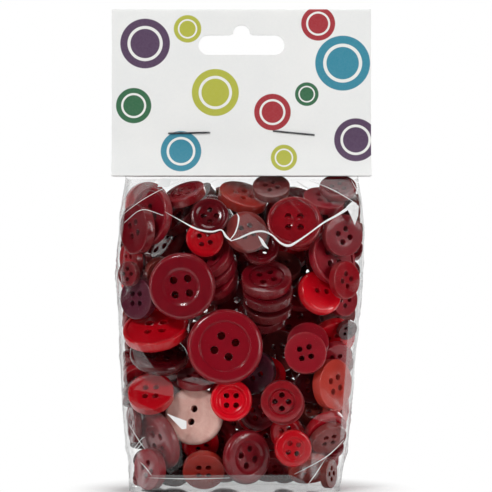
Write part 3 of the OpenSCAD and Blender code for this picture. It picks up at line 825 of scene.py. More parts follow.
# %% The hull
SHOULDER_LINE = [
    (-35, 87), (-28, 85.5), (-19.5, 83.4), (-12.7, 80.2), (-6.5, 78.8), (-1.5, 76.6), (6.3, 78.8),
    (11.8, 75.6), (15.5, 74.6), (24, 80.9), (31.7, 85.5), (35.5, 87),
]
# The shoulder is pulled in a little in depth. Points in a band at the bag's four corners hold it out too, in
# rows that are shifted by up to some mm and pulled in by up to a small part.
SHOULDER_PULL = (1, 0.985, 1)
CORNER_BAND = 0.06
CORNER_ROWS = np.arange(8, 80, 9.0)
CORNER_SHIFT = 3
CORNER_PULL = 0.02
CREASE_SEED = 8
chance = np.random.default_rng(CREASE_SEED)
held = [edge_points(c) / MM for b in buttons.values() for c in b["copies"]]
off_corner = np.abs(np.abs(ways[:, 0] / HALF_W) - np.abs(ways[:, 1] / HALF_D))
corner_ways = ways[off_corner < CORNER_BAND]
for z in CORNER_ROWS:
    for way in corner_ways[::3]:
        point = cad_film_at(way, z + chance.uniform(-CORNER_SHIFT, CORNER_SHIFT))
        pull = 1 - CORNER_PULL * chance.uniform(0, 1)
        held.append([point * pull * (1, 1, 0) + (0, 0, point[2])])
for z in (FOOT_Z, NECK_Z):
    held.append([cad_film_at(w, z) for w in ways[::6]])
for side in (-1, 1):
    for x, z in SHOULDER_LINE:
        hit = cad_tree.ray_cast(Vector((x * MM, side * 0.1, z * MM)), Vector((0, -side, 0)))[0]
        if hit:
            held.append([np.array(hit) / MM * SHOULDER_PULL])
held = np.concatenate([np.atleast_2d(h) for h in held])
bm = bmesh.new()
for p in held:
    bm.verts.new(p)
bmesh.ops.convex_hull(bm, input=bm.verts[:])
spare = [v for v in bm.verts if not v.link_faces]
bmesh.ops.delete(bm, geom=spare, context="VERTS")
bm.verts.index_update()
hull_tree = BVHTree.FromBMesh(bm)
print("hull corners:", len(bm.verts), "facets:", len(bm.faces))
bm.free()

# %% [markdown]
# ## Creases
# The hull gives the large facets. Thin film also keeps the sharp little creases it got when the bag was
# filled and stapled: pleats that fan out from the card, diagonals in the side gussets, and a tangle at the
# folded bottom corners. Each is a line on the unrolled film with a narrow ridge, placed by a fixed seed.

# %% Film grid with creases
levels = np.concatenate([
    np.linspace(0.05, 3, 6, endpoint=False),
    np.arange(3, NECK_Z - 0.2, 0.78),
    np.linspace(NECK_Z, MOUTH_Z, 14),
])
run = np.arange(AROUND) / AROUND * perimeter
# How far a facet may stand proud of the CAD film, in mm. Then the painted sheen of a plain facet, a milky
# white for what it mirrors, what sides and foot add to it, and where that starts and how far it takes to grow,
# in mm.
PROUD = 0.3
PAINTED_SHEEN_PLAIN, PAINTED_SHEEN_MORE = 0.0004, 0.005
SIDE_FROM, SIDE_RUN = 21, 11
FOOT_TOP, FOOT_RUN = 26, 16


def film_grid():
    """The film's points in mm, level by level, and the facing of the facet at each."""
    points, facings = [], []
    for z in levels:
        centre = Vector((cad_middle(z), 0, z))
        for way in ways:
            out = Vector((way[0], way[1], 0))
            outer = (Vector(cad_film_at(way, z)) - centre).length
            hit, facing = hull_tree.ray_cast(centre, out)[:2] if FOOT_Z < z < NECK_Z else (None, None)
            reach = min((hit - centre).length, outer + PROUD) if hit else outer
            points.append(centre + out.normalized() * reach)
            facings.append(facing or Vector())
    shape = (len(levels), AROUND, 3)
    return np.array(points).reshape(shape), np.array(facings).reshape(shape)


def facet_painted_sheen(points, facings):
    """Painted sheen of each facet, a milky white for what it mirrors: about the same all over one facet, most
    at the sides and the foot.
    """
    chance_of = 0.5 + 0.5 * np.sin(facings @ (37.0, 53.0, 71.0))
    side = np.clip((np.abs(points[..., 0]) - SIDE_FROM) / SIDE_RUN, 0, 1)
    foot = np.clip((FOOT_TOP - points[..., 2]) / FOOT_RUN, 0, 1)
    return chance_of ** 2 * (PAINTED_SHEEN_PLAIN + PAINTED_SHEEN_MORE * np.maximum(side, foot))


def ridge(line_from, line_to, width, height):
    """A crease as a ridge on the unrolled film, highest in its middle."""
    s, z = np.meshgrid(run, levels)
    along = np.array(line_to, float) - line_from
    length = np.linalg.norm(along)
    along /= length
    ds = (s - line_from[0] + perimeter / 2) % perimeter - perimeter / 2
    dz = z - line_from[1]
    t = (ds * along[0] + dz * along[1]) / length
    off = np.abs(ds * along[1] - dz * along[0])
    taper = np.clip(4 * t * (1 - t), 0, 1) ** 0.7
    return height * taper * np.exp(-off / width)


def spray(count, across, up, tilt, length, height):
    """Random creases in a region of the unrolled film. Each range is in mm, or in degrees for the tilt."""
    total = np.zeros((len(levels), AROUND))
    for _ in range(count):
        s, z = chance.uniform(*across), chance.uniform(*up)
        a, half = math.radians(chance.uniform(*tilt)), chance.uniform(*length) / 2
        step = np.array([math.cos(a), math.sin(a)]) * half
        total += ridge(np.array([s, z]) - step, np.array([s, z]) + step,
                       chance.uniform(0.5, 1.2), chance.uniform(*height))
    return total


side_run = [run[np.argmin(np.abs(ways[:, 1]) + (ways[:, 0] * side < 0) * 99)] for side in (1, -1)]
crease = spray(30, (0, perimeter), (82, 93), (62, 118), (7, 14), (0.1, 0.35))
crease += spray(16, (0, perimeter), (10, 75), (0, 180), (12, 30), (0.08, 0.25))
for middle in side_run:
    crease += spray(26, (middle - 17, middle + 17), (6, 82), (20, 160), (10, 26), (0.2, 0.6))
    for corner in (middle - 20, middle + 20):
        crease += spray(14, (corner - 9, corner + 9), (0, 13), (20, 160), (5, 12), (0.2, 0.6))
crease *= ((levels > 1.5) & (levels < NECK_Z - 0.5))[:, None]
grid, facings = film_grid()
veil = facet_painted_sheen(grid, facings)
print("film grid:", grid.shape, "tallest crease in mm:", round(crease.max(), 2))

# %% Film mesh
FILM_T = 0.1
# The crease height in mm at which the film is fully white. The white is partly stress-whitening and partly a
# painted glint.
FULL_WHITE_CREASE = 0.5
# The painted sheen of the bag's bottom, a milky white for what it mirrors.
BASE_PAINTED_SHEEN = 0.05


def grid_faces(rows, columns):
    """Quads of a grid that closes on itself round the bag."""
    faces = []
    for j in range(rows - 1):
        for i in range(columns):
            k = (i + 1) % columns
            faces.append((j * columns + i, j * columns + k, (j + 1) * columns + k, (j + 1) * columns + i))
    return faces


def film_base(rim, rings=7):
    """Smaller and smaller copies of the foot's outline, which close the bottom."""
    middle = rim.mean(0)
    return [middle + (rim - middle) * (1 - (k + 1) / (rings + 1)) for k in range(rings)][::-1]


def thicken(sheet, thickness, offset):
    """Gives a sheet a wall in mm: inwards with an offset of -1, or half to each side with 0."""
    wall = sheet.modifiers.new("wall", "SOLIDIFY")
    wall.thickness = thickness * MM
    wall.offset = offset


bottom = film_base(grid[0])
sheet_rows = np.concatenate([np.array(bottom), grid])
mesh = bpy.data.meshes.new("film")
mesh.from_pydata((sheet_rows.reshape(-1, 3) * MM).tolist(), [], grid_faces(len(sheet_rows), AROUND))
cap = bmesh.new()
cap.from_mesh(mesh)
cap.verts.ensure_lookup_table()
cap.faces.new([cap.verts[i] for i in range(AROUND)][::-1])
cap.normal_update()
shift = np.concatenate([np.zeros((len(bottom), AROUND)), crease]).ravel()
for vert, amount in zip(cap.verts, shift):
    vert.co += vert.normal * amount * MM
cap.to_mesh(mesh)
cap.free()
# Creases carry white that is partly stress-whitening and partly a painted glint.
store(mesh, "haze", np.clip(shift / FULL_WHITE_CREASE, 0, 1))
# The veil paints sheen: a milky white for what the facets and the bottom mirror.
store(mesh, "veil", np.concatenate([np.full((len(bottom), AROUND), BASE_PAINTED_SHEEN), veil]).ravel())
mesh.polygons.foreach_set("use_smooth", [True] * len(mesh.polygons))
film_tree = BVHTree.FromPolygons([v.co for v in mesh.vertices], [tuple(p.vertices) for p in mesh.polygons])
film = linked("film", mesh)
thicken(film, FILM_T, -1)
print("film faces:", len(mesh.polygons))

# %% [markdown]
# ## Clear film
# Film this thin has no colour of its own. What shows is gloss: hardly any where it faces the eye and much
# more at a slant, plus a milky haze where creases have stressed it, which is partly a painted glint. A
# Transparent shader mixed with a bright one gives that. The mix grows with the slant, and the crease haze and
# the veil add to it: there the bright part turns from mirror to milk, and the veil's milk is painted sheen.

# %% The film finish
GLOSS_SLANT, GLOSS_FACING = 0.6, 0.0006
# How white the creases get: partly stress-whitening and partly a painted glint.
CREASE_WHITENING_AND_GLINT = 0.15


def film_finish():
    """Clear glossy film, with creases whitened partly by stress and partly by a painted glint, and painted
    sheen.
    """
    material, start = new_finish("clear_film")
    crinkle = start.noise(start.object_place(), 190.0, 3.0, Distortion=1.2)
    relief = start.bump(crinkle, 0.15, 0.1)
    slant = start.node("ShaderNodeLayerWeight", None, {"Blend": 0.5, "Normal": relief}, out="Facing")
    gloss = slant ** 4 * GLOSS_SLANT + GLOSS_FACING
    # The milk is painted white: painted sheen where the veil is set, and crease white that is partly
    # stress-whitening and partly a painted glint.
    whitening_and_painted_sheen = start.attribute("haze") ** 3 * CREASE_WHITENING_AND_GLINT + start.attribute("veil")
    both = gloss + whitening_and_painted_sheen
    milky = whitening_and_painted_sheen / both
    film_only = start.node("ShaderNodeBsdfTransparent", None, {"Color": (0.99, 0.99, 0.99, 1)})
    grey = crinkle.between(0.3, 0.7).blend((0.16, 0.16, 0.16, 1), (0.46, 0.46, 0.46, 1))
    shine = start.node("ShaderNodeBsdfPrincipled", None, {
        "Base Color": milky.blend(grey, (0.95, 0.95, 0.95, 1)),
        "Metallic": 1 - milky,
        "Roughness": 0.05 + milky * 0.3,
        "Normal": relief,
    })
    both = both.math("MINIMUM", both, 1.0)
    close_finish(start, start.node("ShaderNodeMixShader", None, {0: both, 1: film_only, 2: shine}))
    return material


mesh.materials.append(film_finish())
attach(film, "root")
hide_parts("film_bag")
print("film finished")

# %% [markdown]
# ## Pinched folds
# Where the bag was gathered under the card, the film is pinched into fine folds that show as bright
# lines: one runs in scallops round the topmost buttons and others edge the side gussets. Each is a
# path drawn on the front or the back, laid onto the film by rays, and a Geometry Nodes tree sweeps a thin
# tapering roll along it. Each roll is nearly all milky white, a painted glint.

# %% The fold tree
FOLD_FLAT = 0.25
# Nearly full veil: the fold's bright line is a painted glint of milky white.
FOLD_PAINTED_GLINT = 0.9
fold_tree, fold, given = tree_with("pinched_fold", [
    ("Path", "NodeSocketGeometry", None),
    ("Points", "NodeSocketInt", 60),
    ("Flatness", "NodeSocketFloat", FOLD_FLAT),
    ("Film", "NodeSocketMaterial", None),
])
line = fold.node("GeometryNodeMeshToCurve", None, {0: given["Path"]})
line = fold.node("GeometryNodeResampleCurve", None, {"Curve": line, "Count": given["Points"]})
width = fold.node("GeometryNodeInputNamedAttribute", {"data_type": "FLOAT"}, {"Name": "width"})
line = fold.node("GeometryNodeSetCurveNormal", {"mode": "FREE"}, {0: line, "Normal": (0, -1, 0)})
ring = fold.node("GeometryNodeCurvePrimitiveCircle", None, {"Resolution": 10, "Radius": 1.0})
flat = fold.node("ShaderNodeCombineXYZ", None, {0: given["Flatness"], 1: 1.0, 2: 1.0})
ring = fold.node("GeometryNodeTransform", None, {0: ring, "Scale": flat})
roll = fold.node(
    "GeometryNodeCurveToMesh", None,
    {"Curve": line, "Profile Curve": ring, "Scale": width / 2, "Fill Caps": True},
)
roll = fold.node(
    "GeometryNodeStoreNamedAttribute", {"data_type": "FLOAT", "domain": "POINT"},
    {"Geometry": roll, "Name": "veil", "Value": FOLD_PAINTED_GLINT},
)
roll = fold.node("GeometryNodeSetShadeSmooth", None, {0: roll})
roll = fold.node("GeometryNodeRealizeInstances", None, {0: roll})
roll = fold.node("GeometryNodeSetMaterial", None, {"Geometry": roll, "Material": given["Film"]})
fold.node("NodeGroupOutput", None, {0: roll})
print("fold tree nodes:", len(fold_tree.nodes))

# %% Paths of the folds
# Each fold is a row of points in the front view: place across, height and width, in mm.
FOLDS = {
    "shoulder_left": [
        (-23, 84.8, 0.05), (-17.6, 81.8, 0.3), (-14.3, 80, 0.55), (-11.5, 79.1, 0.6), (-8.7, 78.8, 0.55),
        (-6, 79.3, 0.4), (-4.6, 77.4, 0.75), (-2.9, 76, 0.3),
    ],
    "shoulder_middle": [
        (-3.2, 76, 0.2), (-0.5, 76.9, 0.5), (3.2, 78.5, 0.6), (6.3, 78.9, 0.6), (9, 77.9, 0.45),
        (11.8, 75.6, 0.2),
    ],
    "shoulder_right": [
        (9, 77.9, 0.2), (11.8, 75.4, 0.6), (14.3, 74.6, 0.8), (17, 76, 0.6), (21, 78.8, 0.45),
        (24.7, 81.5, 0.55), (28.7, 83.7, 0.7), (32, 85.8, 0.9), (33.9, 87.4, 0.3),
    ],
    "loop": [(-1.4, 84.3, 0.1), (-0.8, 83.1, 0.5), (-1.1, 80.6, 0.4), (-2, 78.2, 0.4), (-3.5, 76.3, 0.15)],
    "arc": [(5.1, 77.5, 0.2), (6, 76.3, 0.9), (6.9, 74.8, 1), (8.1, 73.7, 0.2)],
    "slant_right": [(20.5, 94.6, 0.1), (28, 91.4, 0.25), (35, 87.2, 0.2)],
    "gusset_right": [(33.5, 94.6, 0.1), (35.8, 90, 0.3), (36.8, 86, 0.2)],
    "slant_left": [(-36, 84, 0.1), (-29, 89, 0.2), (-18, 94.8, 0.15)],
    "slant_left_low": [(-35.5, 81.5, 0.1), (-30, 85.4, 0.2), (-23.5, 83.7, 0.15)],
    "foot_line": [(-28, 4.7, 0.05), (-16, 4.4, 0.3), (-3.5, 4.7, 0.1)],
    "foot_right_long": [(16, 5.8, 0.1), (25.6, 11, 0.3), (31, 15.8, 0.15)],
    "foot_right_short": [(20.1, 2.8, 0.15), (22.8, 6.5, 0.3), (25.3, 10.4, 0.1)],
    "foot_left_long": [(-34, 20.8, 0.1), (-31, 16, 0.25), (-29, 13.2, 0.1)],
    "foot_left_first": [(-33, 12.6, 0.1), (-30.2, 16.2, 0.2), (-29, 17, 0.1)],
    "foot_left_second": [(-32.8, 11.4, 0.1), (-30.5, 14.4, 0.2), (-29.6, 15, 0.1)],
    "foot_left_third": [(-30.4, 9.2, 0.1), (-28.6, 7.4, 0.25), (-27.1, 5.5, 0.1)],
    "back_shoulder_left": [
        (-34, 86.5, 0.1), (-25, 82.5, 0.5), (-17, 79, 0.6), (-9, 77.5, 0.4), (-3, 75, 0.15),
    ],
    "back_shoulder_right": [
        (-4, 75.4, 0.1), (5, 79.5, 0.5), (14, 78, 0.6), (24, 81.5, 0.5), (33.5, 86.8, 0.1),
    ],
    "back_slant": [(35, 80.5, 0.1), (27, 88, 0.25), (17, 94.5, 0.1)],
    "back_foot": [(-20, 4.8, 0.05), (2, 4.3, 0.3), (22, 5, 0.05)],
    "back_foot_corner": [(19, 3.5, 0.1), (26, 9.5, 0.3), (32, 17, 0.1)],
}
BACK_NAME = "back_"
print("folds on the front:", sum(not name.startswith(BACK_NAME) for name in FOLDS), "of", len(FOLDS))

# %% Lay the folds on the film
LEAST_FOLD = 0.05
STEPS_PER_POINT = 12


def smooth_line(points, steps=8):
    """Points of a smooth curve through the given ones."""
    p = np.array(points, float)
    p = np.concatenate([[2 * p[0] - p[1]], p, [2 * p[-1] - p[-2]]])
    line = []
    for a, b, c, d in zip(p, p[1:], p[2:], p[3:]):
        for t in np.arange(steps) / steps:
            line.append(((2 * b) + (c - a) * t + (2 * a - 5 * b + 4 * c - d) * t ** 2
                         + (3 * b - a - 3 * c + d) * t ** 3) / 2)
    return np.array([*line, p[-2]])


for name, points in FOLDS.items():
    side = -1 if name.startswith(BACK_NAME) else 1
    line = [(seen_at(film_tree, x, z, side), w) for x, z, w in smooth_line(points)]
    line = [(place, w) for place, w in line if place]
    mesh = bpy.data.meshes.new("fold_path")
    mesh.from_pydata([place for place, _ in line], [(i, i + 1) for i in range(len(line) - 1)], [])
    store(mesh, "width", [max(w, LEAST_FOLD) * MM for _, w in line])
    route = linked("fold_path", mesh)
    modifier = route.modifiers.new("fold", "NODES")
    modifier.node_group = fold_tree
    count = STEPS_PER_POINT * len(points)
    set_inputs(modifier, {"Points": count, "Flatness": FOLD_FLAT, "Film": film.data.materials[0]})
    made = plain_mesh(route, "fold_" + name)
    bpy.data.objects.remove(route)
    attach(made, "root")
print("folds:", len(FOLDS))

# %% [markdown]
# ## Facets that catch the light
# Some flat patches between creases face a lamp and look grey or white with sharp borders. Each is a small
# patch of film with that outline, laid over the bag by the same rays, and its grey or white is a painted sheen
# or glint.

# %% Inside or outside


def inside(point, outline):
    """Whether a point lies inside an outline."""
    x, y = point
    odd = False
    for (ax, ay), (bx, by) in zip(outline, outline[1:] + outline[:1]):
        if (ay > y) != (by > y) and x < ax + (bx - ax) * (y - ay) / (by - ay):
            odd = not odd
    return odd


def ring_edges(count, first=0):
    """The edges of a closed outline of so many points."""
    return [(first + i, first + (i + 1) % count) for i in range(count)]


print("middle of a square:", inside((0.5, 0.5), [(0, 0), (1, 0), (1, 1), (0, 1)]))

# %% Outlines of the facets
# Each facet has the strength of its painted sheen or glint and the corners of its outline on the front, in mm.
FACETS = {
    "shoulder_glint": (0.9, [
        (31.6, 86.3), (33.6, 88), (35.5, 86.6), (35.3, 83.7), (34.3, 80.8), (33, 83.6),
    ]),
    "shoulder_veil": (0.03, [
        (-1, 83), (2, 84.5), (7, 80.5), (8.6, 77.5), (7.5, 73.8), (2, 72.4), (-2.6, 76.4),
    ]),
    "neck_glint": (0.8, [(-24.8, 94.8), (-21.4, 95), (-21.9, 92.6), (-25.4, 92.4)]),
    "neck_left": (0.05, [(-35, 94.8), (-26, 94.8), (-29, 89.4), (-35.6, 84.6)]),
    "neck_right": (0.06, [(21, 94.8), (33, 94.8), (35.2, 88), (28, 91)]),
    "pearl_glint": (0.95, [(-22.4, 24.1), (-16.5, 21.9), (-16.5, 19.6), (-17.9, 19.4)]),
    "left_first": (0.05, [(-33.6, 45.4), (-31.1, 44.7), (-26.2, 37.7), (-31.4, 38)]),
    "left_second": (0.03, [(-26.2, 36.8), (-20.7, 32.8), (-16.1, 28.5), (-25, 30), (-32.6, 31.3)]),
    "left_third": (0.02, [
        (-33.3, 28.2), (-24.1, 24.2), (-18.2, 16.6), (-17.6, 8.6), (-21.3, 5.8), (-28.7, 13.2), (-34, 20),
    ]),
    "left_lens": (0.05, [(-17.9, 34.3), (-14.6, 35.2), (-7.2, 33.4), (-11.2, 32.6)]),
    "right_gusset": (0.14, [
        (32.3, 52), (34.9, 52), (33.7, 34), (32, 21.5), (31, 16.5), (29.8, 15.4), (30.3, 23.3), (31.4, 36),
    ]),
    "right_low": (0.012, [
        (17, 14.7), (20.4, 16.9), (24.4, 15), (30.6, 15.8), (25.4, 10.6), (17, 6.2), (16, 10),
    ]),
    "right_small": (0.03, [(19.8, 23.2), (28, 24.2), (28.8, 20.4)]),
    "foot": (0.07, [(-27, 5.6), (15, 5.6), (20, 3), (20, 0.9), (-30, 0.9)]),
}
print("milkiest facet:", max(FACETS, key=lambda name: FACETS[name][0]))

# %% Lay the facets on the film
FACET_T = 0.06
FACET_STEP = 1.5
CUT_NEAR = 1e-5


def facet_piece(name, strength, corners):
    """A thin patch of film with a painted sheen or glint over the bag inside an outline of the front view."""
    line = []
    for (ax, az), (bx, bz) in zip(corners, corners[1:] + corners[:1]):
        count = max(1, round(math.hypot(bx - ax, bz - az) / FACET_STEP))
        line += [(ax + (bx - ax) * k / count, az + (bz - az) * k / count) for k in range(count)]
    low, high = np.min(corners, axis=0), np.max(corners, axis=0)
    columns, rows = (np.arange(low[k], high[k], FACET_STEP) for k in (0, 1))
    flat = line + [(x, z) for x in columns for z in rows if inside((x, z), line)]
    cut = delaunay_2d_cdt([Vector(p) for p in flat], ring_edges(len(line)), [], 1, CUT_NEAR)
    places = [seen_at(film_tree, *p) for p in cut[0]]
    faces = [f for f in cut[2] if all(places[i] for i in f)]
    mesh = bpy.data.meshes.new(name)
    mesh.from_pydata([p + Vector((0, -FACET_T * MM, 0)) if p else (0, 0, 0) for p in places], [], faces)
    bm = bmesh.new()
    bm.from_mesh(mesh)
    bmesh.ops.delete(bm, geom=[v for v in bm.verts if not v.link_faces], context="VERTS")
    bm.to_mesh(mesh)
    bm.free()
    sheet = linked(name, mesh)
    thicken(sheet, FACET_T, 0)
    made = plain_mesh(sheet, "facet_" + name)
    bpy.data.objects.remove(sheet)
    # The patch's strength paints its sheen or glint in milky white.
    store(made.data, "veil", [strength] * len(made.data.vertices))
    made.data.materials.clear()
    made.data.materials.append(film.data.materials[0])
    return made


for name, (strength, corners) in FACETS.items():
    made = facet_piece(name, strength, corners)
    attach(made, "root")
print("facets:", len(FACETS))

# %% [markdown]
# ## The header card
# The card is die-cut flat with two hang slots, then folded over the bag's mouth and stapled. It is made the
# same way here: the flat sheet is triangulated with its slots, each point is carried to its place on the
# folded form, and Solidify gives the board its thickness.

# %% Measures of the card
# In mm: the board, half the gap between the panels, how far they splay out below the bend, the slot and its
# hump.
CARD_T = 0.35
CARD_GAP = 0.45
SPLAY = 3.8
BEND_Z = 107.5
SLOT_W, SLOT_H, SLOT_DROP = 26.4, 6.1, 8
HUMP_H, HUMP_R = 3.1, 2.6
card_low, card_high = (np.array(c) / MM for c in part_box("header_card"))
CARD_W = card_high[0] - card_low[0]
FOLD_R = CARD_GAP + CARD_T / 2
FOLD_RUN = FOLD_R * math.pi / 2
fold_z = card_high[2] - CARD_GAP - CARD_T
PANEL_RUN = FOLD_RUN + fold_z - card_low[2]


def arc_points(x, z, r, start, end, steps):
    """Points on an arc, with angles in degrees."""
    angles = np.radians(np.linspace(start, end, steps))
    return [(x + r * math.cos(a), z + r * math.sin(a)) for a in angles]


def slot_line():
    """The hang slot's outline round its straight part's middle: two round ends and a hump."""
    side, top = (SLOT_W - SLOT_H) / 2, SLOT_H / 2
    hump_z = top + HUMP_H - HUMP_R
    right = arc_points(side, 0, top, -90, 90, 14)
    left = arc_points(-side, 0, top, 90, 270, 14)
    foot = HUMP_R + 1
    hump = [(foot, top), *arc_points(0, hump_z, HUMP_R, 0, 180, 16), (-foot, top)]
    return right + hump + left


slot_run = FOLD_RUN + fold_z - (card_high[2] - SLOT_DROP - SLOT_H / 2)
slots = [[(x, side * (slot_run - z)) for x, z in slot_line()] for side in (-1, 1)]
print("from the fold to the slot's middle in mm:", round(slot_run, 1))

# %% Cut the flat sheet
COLUMNS, PANEL_ROWS, BEND_ROWS = 41, 30, 9


def in_slot(point):
    """Whether a point of the flat sheet lies in a slot."""
    return any(inside(point, line) for line in slots)


edge_x = np.linspace(-CARD_W / 2, CARD_W / 2, COLUMNS)
edge_s = np.concatenate([
    np.linspace(-PANEL_RUN, -FOLD_RUN, PANEL_ROWS)[:-1],
    np.linspace(-FOLD_RUN, FOLD_RUN, BEND_ROWS),
    np.linspace(FOLD_RUN, PANEL_RUN, PANEL_ROWS)[1:],
])
flat = [(x, s) for x in edge_x for s in edge_s if not in_slot((x, s))]
edges = []
for line in slots:
    edges += ring_edges(len(line), len(flat))
    flat += line
cut = delaunay_2d_cdt([Vector(p) for p in flat], edges, [], 0, CUT_NEAR)
flat = [tuple(v) for v in cut[0]]
card_faces = [tuple(f) for f in cut[2] if not in_slot(np.mean([flat[i] for i in f], axis=0))]
print("flat sheet in mm:", round(CARD_W, 1), "x", round(2 * PANEL_RUN, 1), "faces:", len(card_faces))

# %% Fold the sheet
# Board is never quite flat: in mm, the sway of the lower edge, the ripple all over, the run below the fold
# that stays flatter, and the most that a wave may lean inwards.
SWAY = 0.35
RIPPLE = 0.12
STIFF_RUN = 15
LEAN_IN = 0.05


def folded(x, s):
    """A point of the flat sheet on the folded card, in mm. The front panel has s below 0."""
    if abs(s) < FOLD_RUN:
        return x, FOLD_R * math.sin(s / FOLD_R), fold_z + FOLD_R * math.cos(s / FOLD_R)
    z = fold_z + FOLD_RUN - abs(s)
    drop = max(0, BEND_Z - z) / (BEND_Z - card_low[2])
    sway = SWAY * drop * math.sin(x * 0.09 + math.copysign(1, s))
    wave = RIPPLE * math.sin(x * 0.11 + 0.7) * math.sin(z * 0.13) + sway
    out = FOLD_R + SPLAY * drop ** 2 + max(-LEAN_IN, wave * min(1, (fold_z - z) / STIFF_RUN))
    return x, math.copysign(out, s), z


mesh = bpy.data.meshes.new("folded_card")
mesh.from_pydata([tuple(c * MM for c in folded(*p)) for p in flat], [], card_faces)
card = linked("folded_card", mesh)
thicken(card, CARD_T, 0)
solid_card = plain_mesh(card, "header_board")
bpy.data.objects.remove(card)
mesh = solid_card.data
mesh.polygons.foreach_set("use_smooth", [True] * len(mesh.polygons))
mesh.set_sharp_from_angle(angle=math.radians(40))
print("card box in mm:", [[round(v / MM, 2) for v in solid_card.bound_box[k]] for k in (0, 6)])

# %% [markdown]
# ## Board and print
# The board is white and lightly coated, with a faint fibre texture. The print is plain: round spots and rings
# in a few bright inks, scattered over the front. Each spot is a distance to its middle, cut off at its
# radius, so it stays crisp at any size.

# %% The card finish
# Each spot has its place across, its height and its radius in mm, and its ink.
SPOTS = [
    (-29.5, 136.5, 7.6, "54395a"), (-16.5, 141, 4.2, "b9bb3f"), (31, 130.5, 8.4, "2f8ba3"),
    (23.5, 142.6, 5.2, "a9232f"), (-33, 117.5, 5.4, "2c6b45"), (-8, 121.5, 7.2, "b9bb3f"),
    (9.5, 115.5, 5.6, "a9232f"), (35, 107, 6.6, "54395a"), (-18.5, 103.5, 6.2, "2f8ba3"),
    (20, 121, 3.6, "2c6b45"), (13, 101.5, 4, "b9bb3f"),
]
PRINT_EDGE = 0.12


def card_finish():
    """White coated board with round printed spots on its front."""
    material, start = new_finish("white_card")
    place = start.object_place()
    apart = start.node("ShaderNodeSeparateXYZ", None, {0: place})
    x, y, z = (apart.twin(k) for k in "XYZ")
    fibre = start.noise(place, 1800.0, 5.0)
    cloud = start.noise(place, 35.0, 3.0)
    tint = (cloud * 0.7 + fibre * 0.3).between(0.3, 0.7).blend(paint("f6f6f4"), paint("f0f1f0"))
    front = y.between(-0.2 * MM, -0.3 * MM)
    for sx, sz, r, ink in SPOTS:
        spot = start.node("ShaderNodeCombineXYZ", None, {0: x - sx * MM, 2: z - sz * MM})
        away = start.vector("LENGTH", spot, out="Value") / MM
        disc = (1 - away.between(r - PRINT_EDGE, r + PRINT_EDGE)) * front
        ring = away.between(0.58 * r, 0.6 * r) * (1 - away.between(0.7 * r, 0.72 * r))
        tint = (disc * (0.94 + fibre * 0.06)).blend(tint, ring.blend(paint(ink), paint("f2f2ee")))
    shader = start.node("ShaderNodeBsdfPrincipled", None, {
        "Base Color": tint,
        "Roughness": 0.42 + (fibre - 0.5) * 0.2,
        "Specular IOR Level": 0.4,
        "Normal": start.bump(fibre, 0.15, 0.02),
    })
    close_finish(start, shader)
    return material


mesh.materials.clear()
mesh.materials.append(card_finish())
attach(solid_card, "root")
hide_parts("header_card")
print("spots on the card:", len(SPOTS))

# %% [markdown]
# ## Staples
# The staples are plain bent wire and their solids already have the true form, so they stay and only get a
# finish: bright drawn steel, with lines along the wire and a little dulling.

# %% The wire finish


def wire_finish():
    """Bright drawn steel wire."""
    material, start = new_finish("staple_wire")
    place = start.object_place()
    along = start.node("ShaderNodeMapping", None, {"Vector": place, "Scale": (60, 900, 900)})
    drawn = start.noise(along, 6.0, 3.0)
    dull = start.noise(place, 420.0, 2.0)
    shader = start.node("ShaderNodeBsdfPrincipled", None, {
        "Base Color": dull.between(0.35, 0.65).blend(paint("5c5d60"), paint("85878a")),
        "Metallic": 1.0,
        "Roughness": 0.22 + drawn * 0.25,
        "Normal": start.bump(drawn, 0.2, 0.02),
    })
    close_finish(start, shader)
    return material


steel = wire_finish()
for node in ("staple_left", "staple_right"):
    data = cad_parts[node].data
    data.materials.clear()
    data.materials.append(steel)
print("staples finished")

# %% [markdown]
# ## Studio
# A pale floor and a white surround, as for a catalogue picture. The surround is white to the camera, to gloss
# and through the film, and lights the rest only a little, so that the lamps shape the object. The floor keeps
# the shadow near the bag and fades into the white further out.

# %% World and floor
AMBIENT = 0.09
FLOOR_R = 0.6
FADE_FROM, FADE_TO = 0.032, 0.056


def direct_rays(start):
    """1 for rays from the camera, from gloss and through clear stuff, which see a plain white surround."""
    ray = start.node("ShaderNodeLightPath", None, None, out="Is Camera Ray")
    more = ray + ray.twin("Is Glossy Ray") + ray.twin("Is Transmission Ray")
    return more.math("MINIMUM", more, 1.0)


bpy.context.scene.view_settings.view_transform = "Standard"
world = bpy.data.worlds.new("studio")
bpy.context.scene.world = world
world.use_nodes = True
world.node_tree.nodes.clear()
sky = Wire(world.node_tree)
seen = direct_rays(sky)
ambient = sky.node("ShaderNodeBackground", None, {"Color": (1, 1, 1, 1), "Strength": AMBIENT})
white = sky.node("ShaderNodeBackground", None, {"Color": (1, 1, 1, 1), "Strength": 1.0})
mixed = sky.node("ShaderNodeMixShader", None, {0: seen, 1: ambient, 2: white})
sky.node("ShaderNodeOutputWorld", None, {"Surface": mixed})

bpy.ops.mesh.primitive_circle_add(vertices=96, radius=FLOOR_R, fill_type="NGON")
floor = bpy.context.object
floor.name = "floor"


def floor_finish():
    """Pale floor that fades into the white surround."""
    material, start = new_finish("pale_floor")
    away = start.vector("LENGTH", start.object_place(), out="Value")
    matt = start.node("ShaderNodeBsdfDiffuse", None, {"Color": (0.95, 0.95, 0.95, 1)})
    glow = start.node("ShaderNodeEmission", None, {"Color": (1, 1, 1, 1), "Strength": 1.0})
    fade = away.between(FADE_FROM, FADE_TO) * direct_rays(start)
    close_finish(start, start.node("ShaderNodeMixShader", None, {0: fade, 1: matt, 2: glow}))
    return material


floor.data.materials.append(floor_finish())
print("floor radius in m:", FLOOR_R)

# %% [markdown]
# ## Dark flags
# A photographer keeps the room and its ceiling dark, hangs black flags left and right and lays one in front,
# so that polished faces and film that look that way have nothing bright to mirror and keep their colour.
# These flags are seen by gloss only: they take no light away and stay out of the picture.

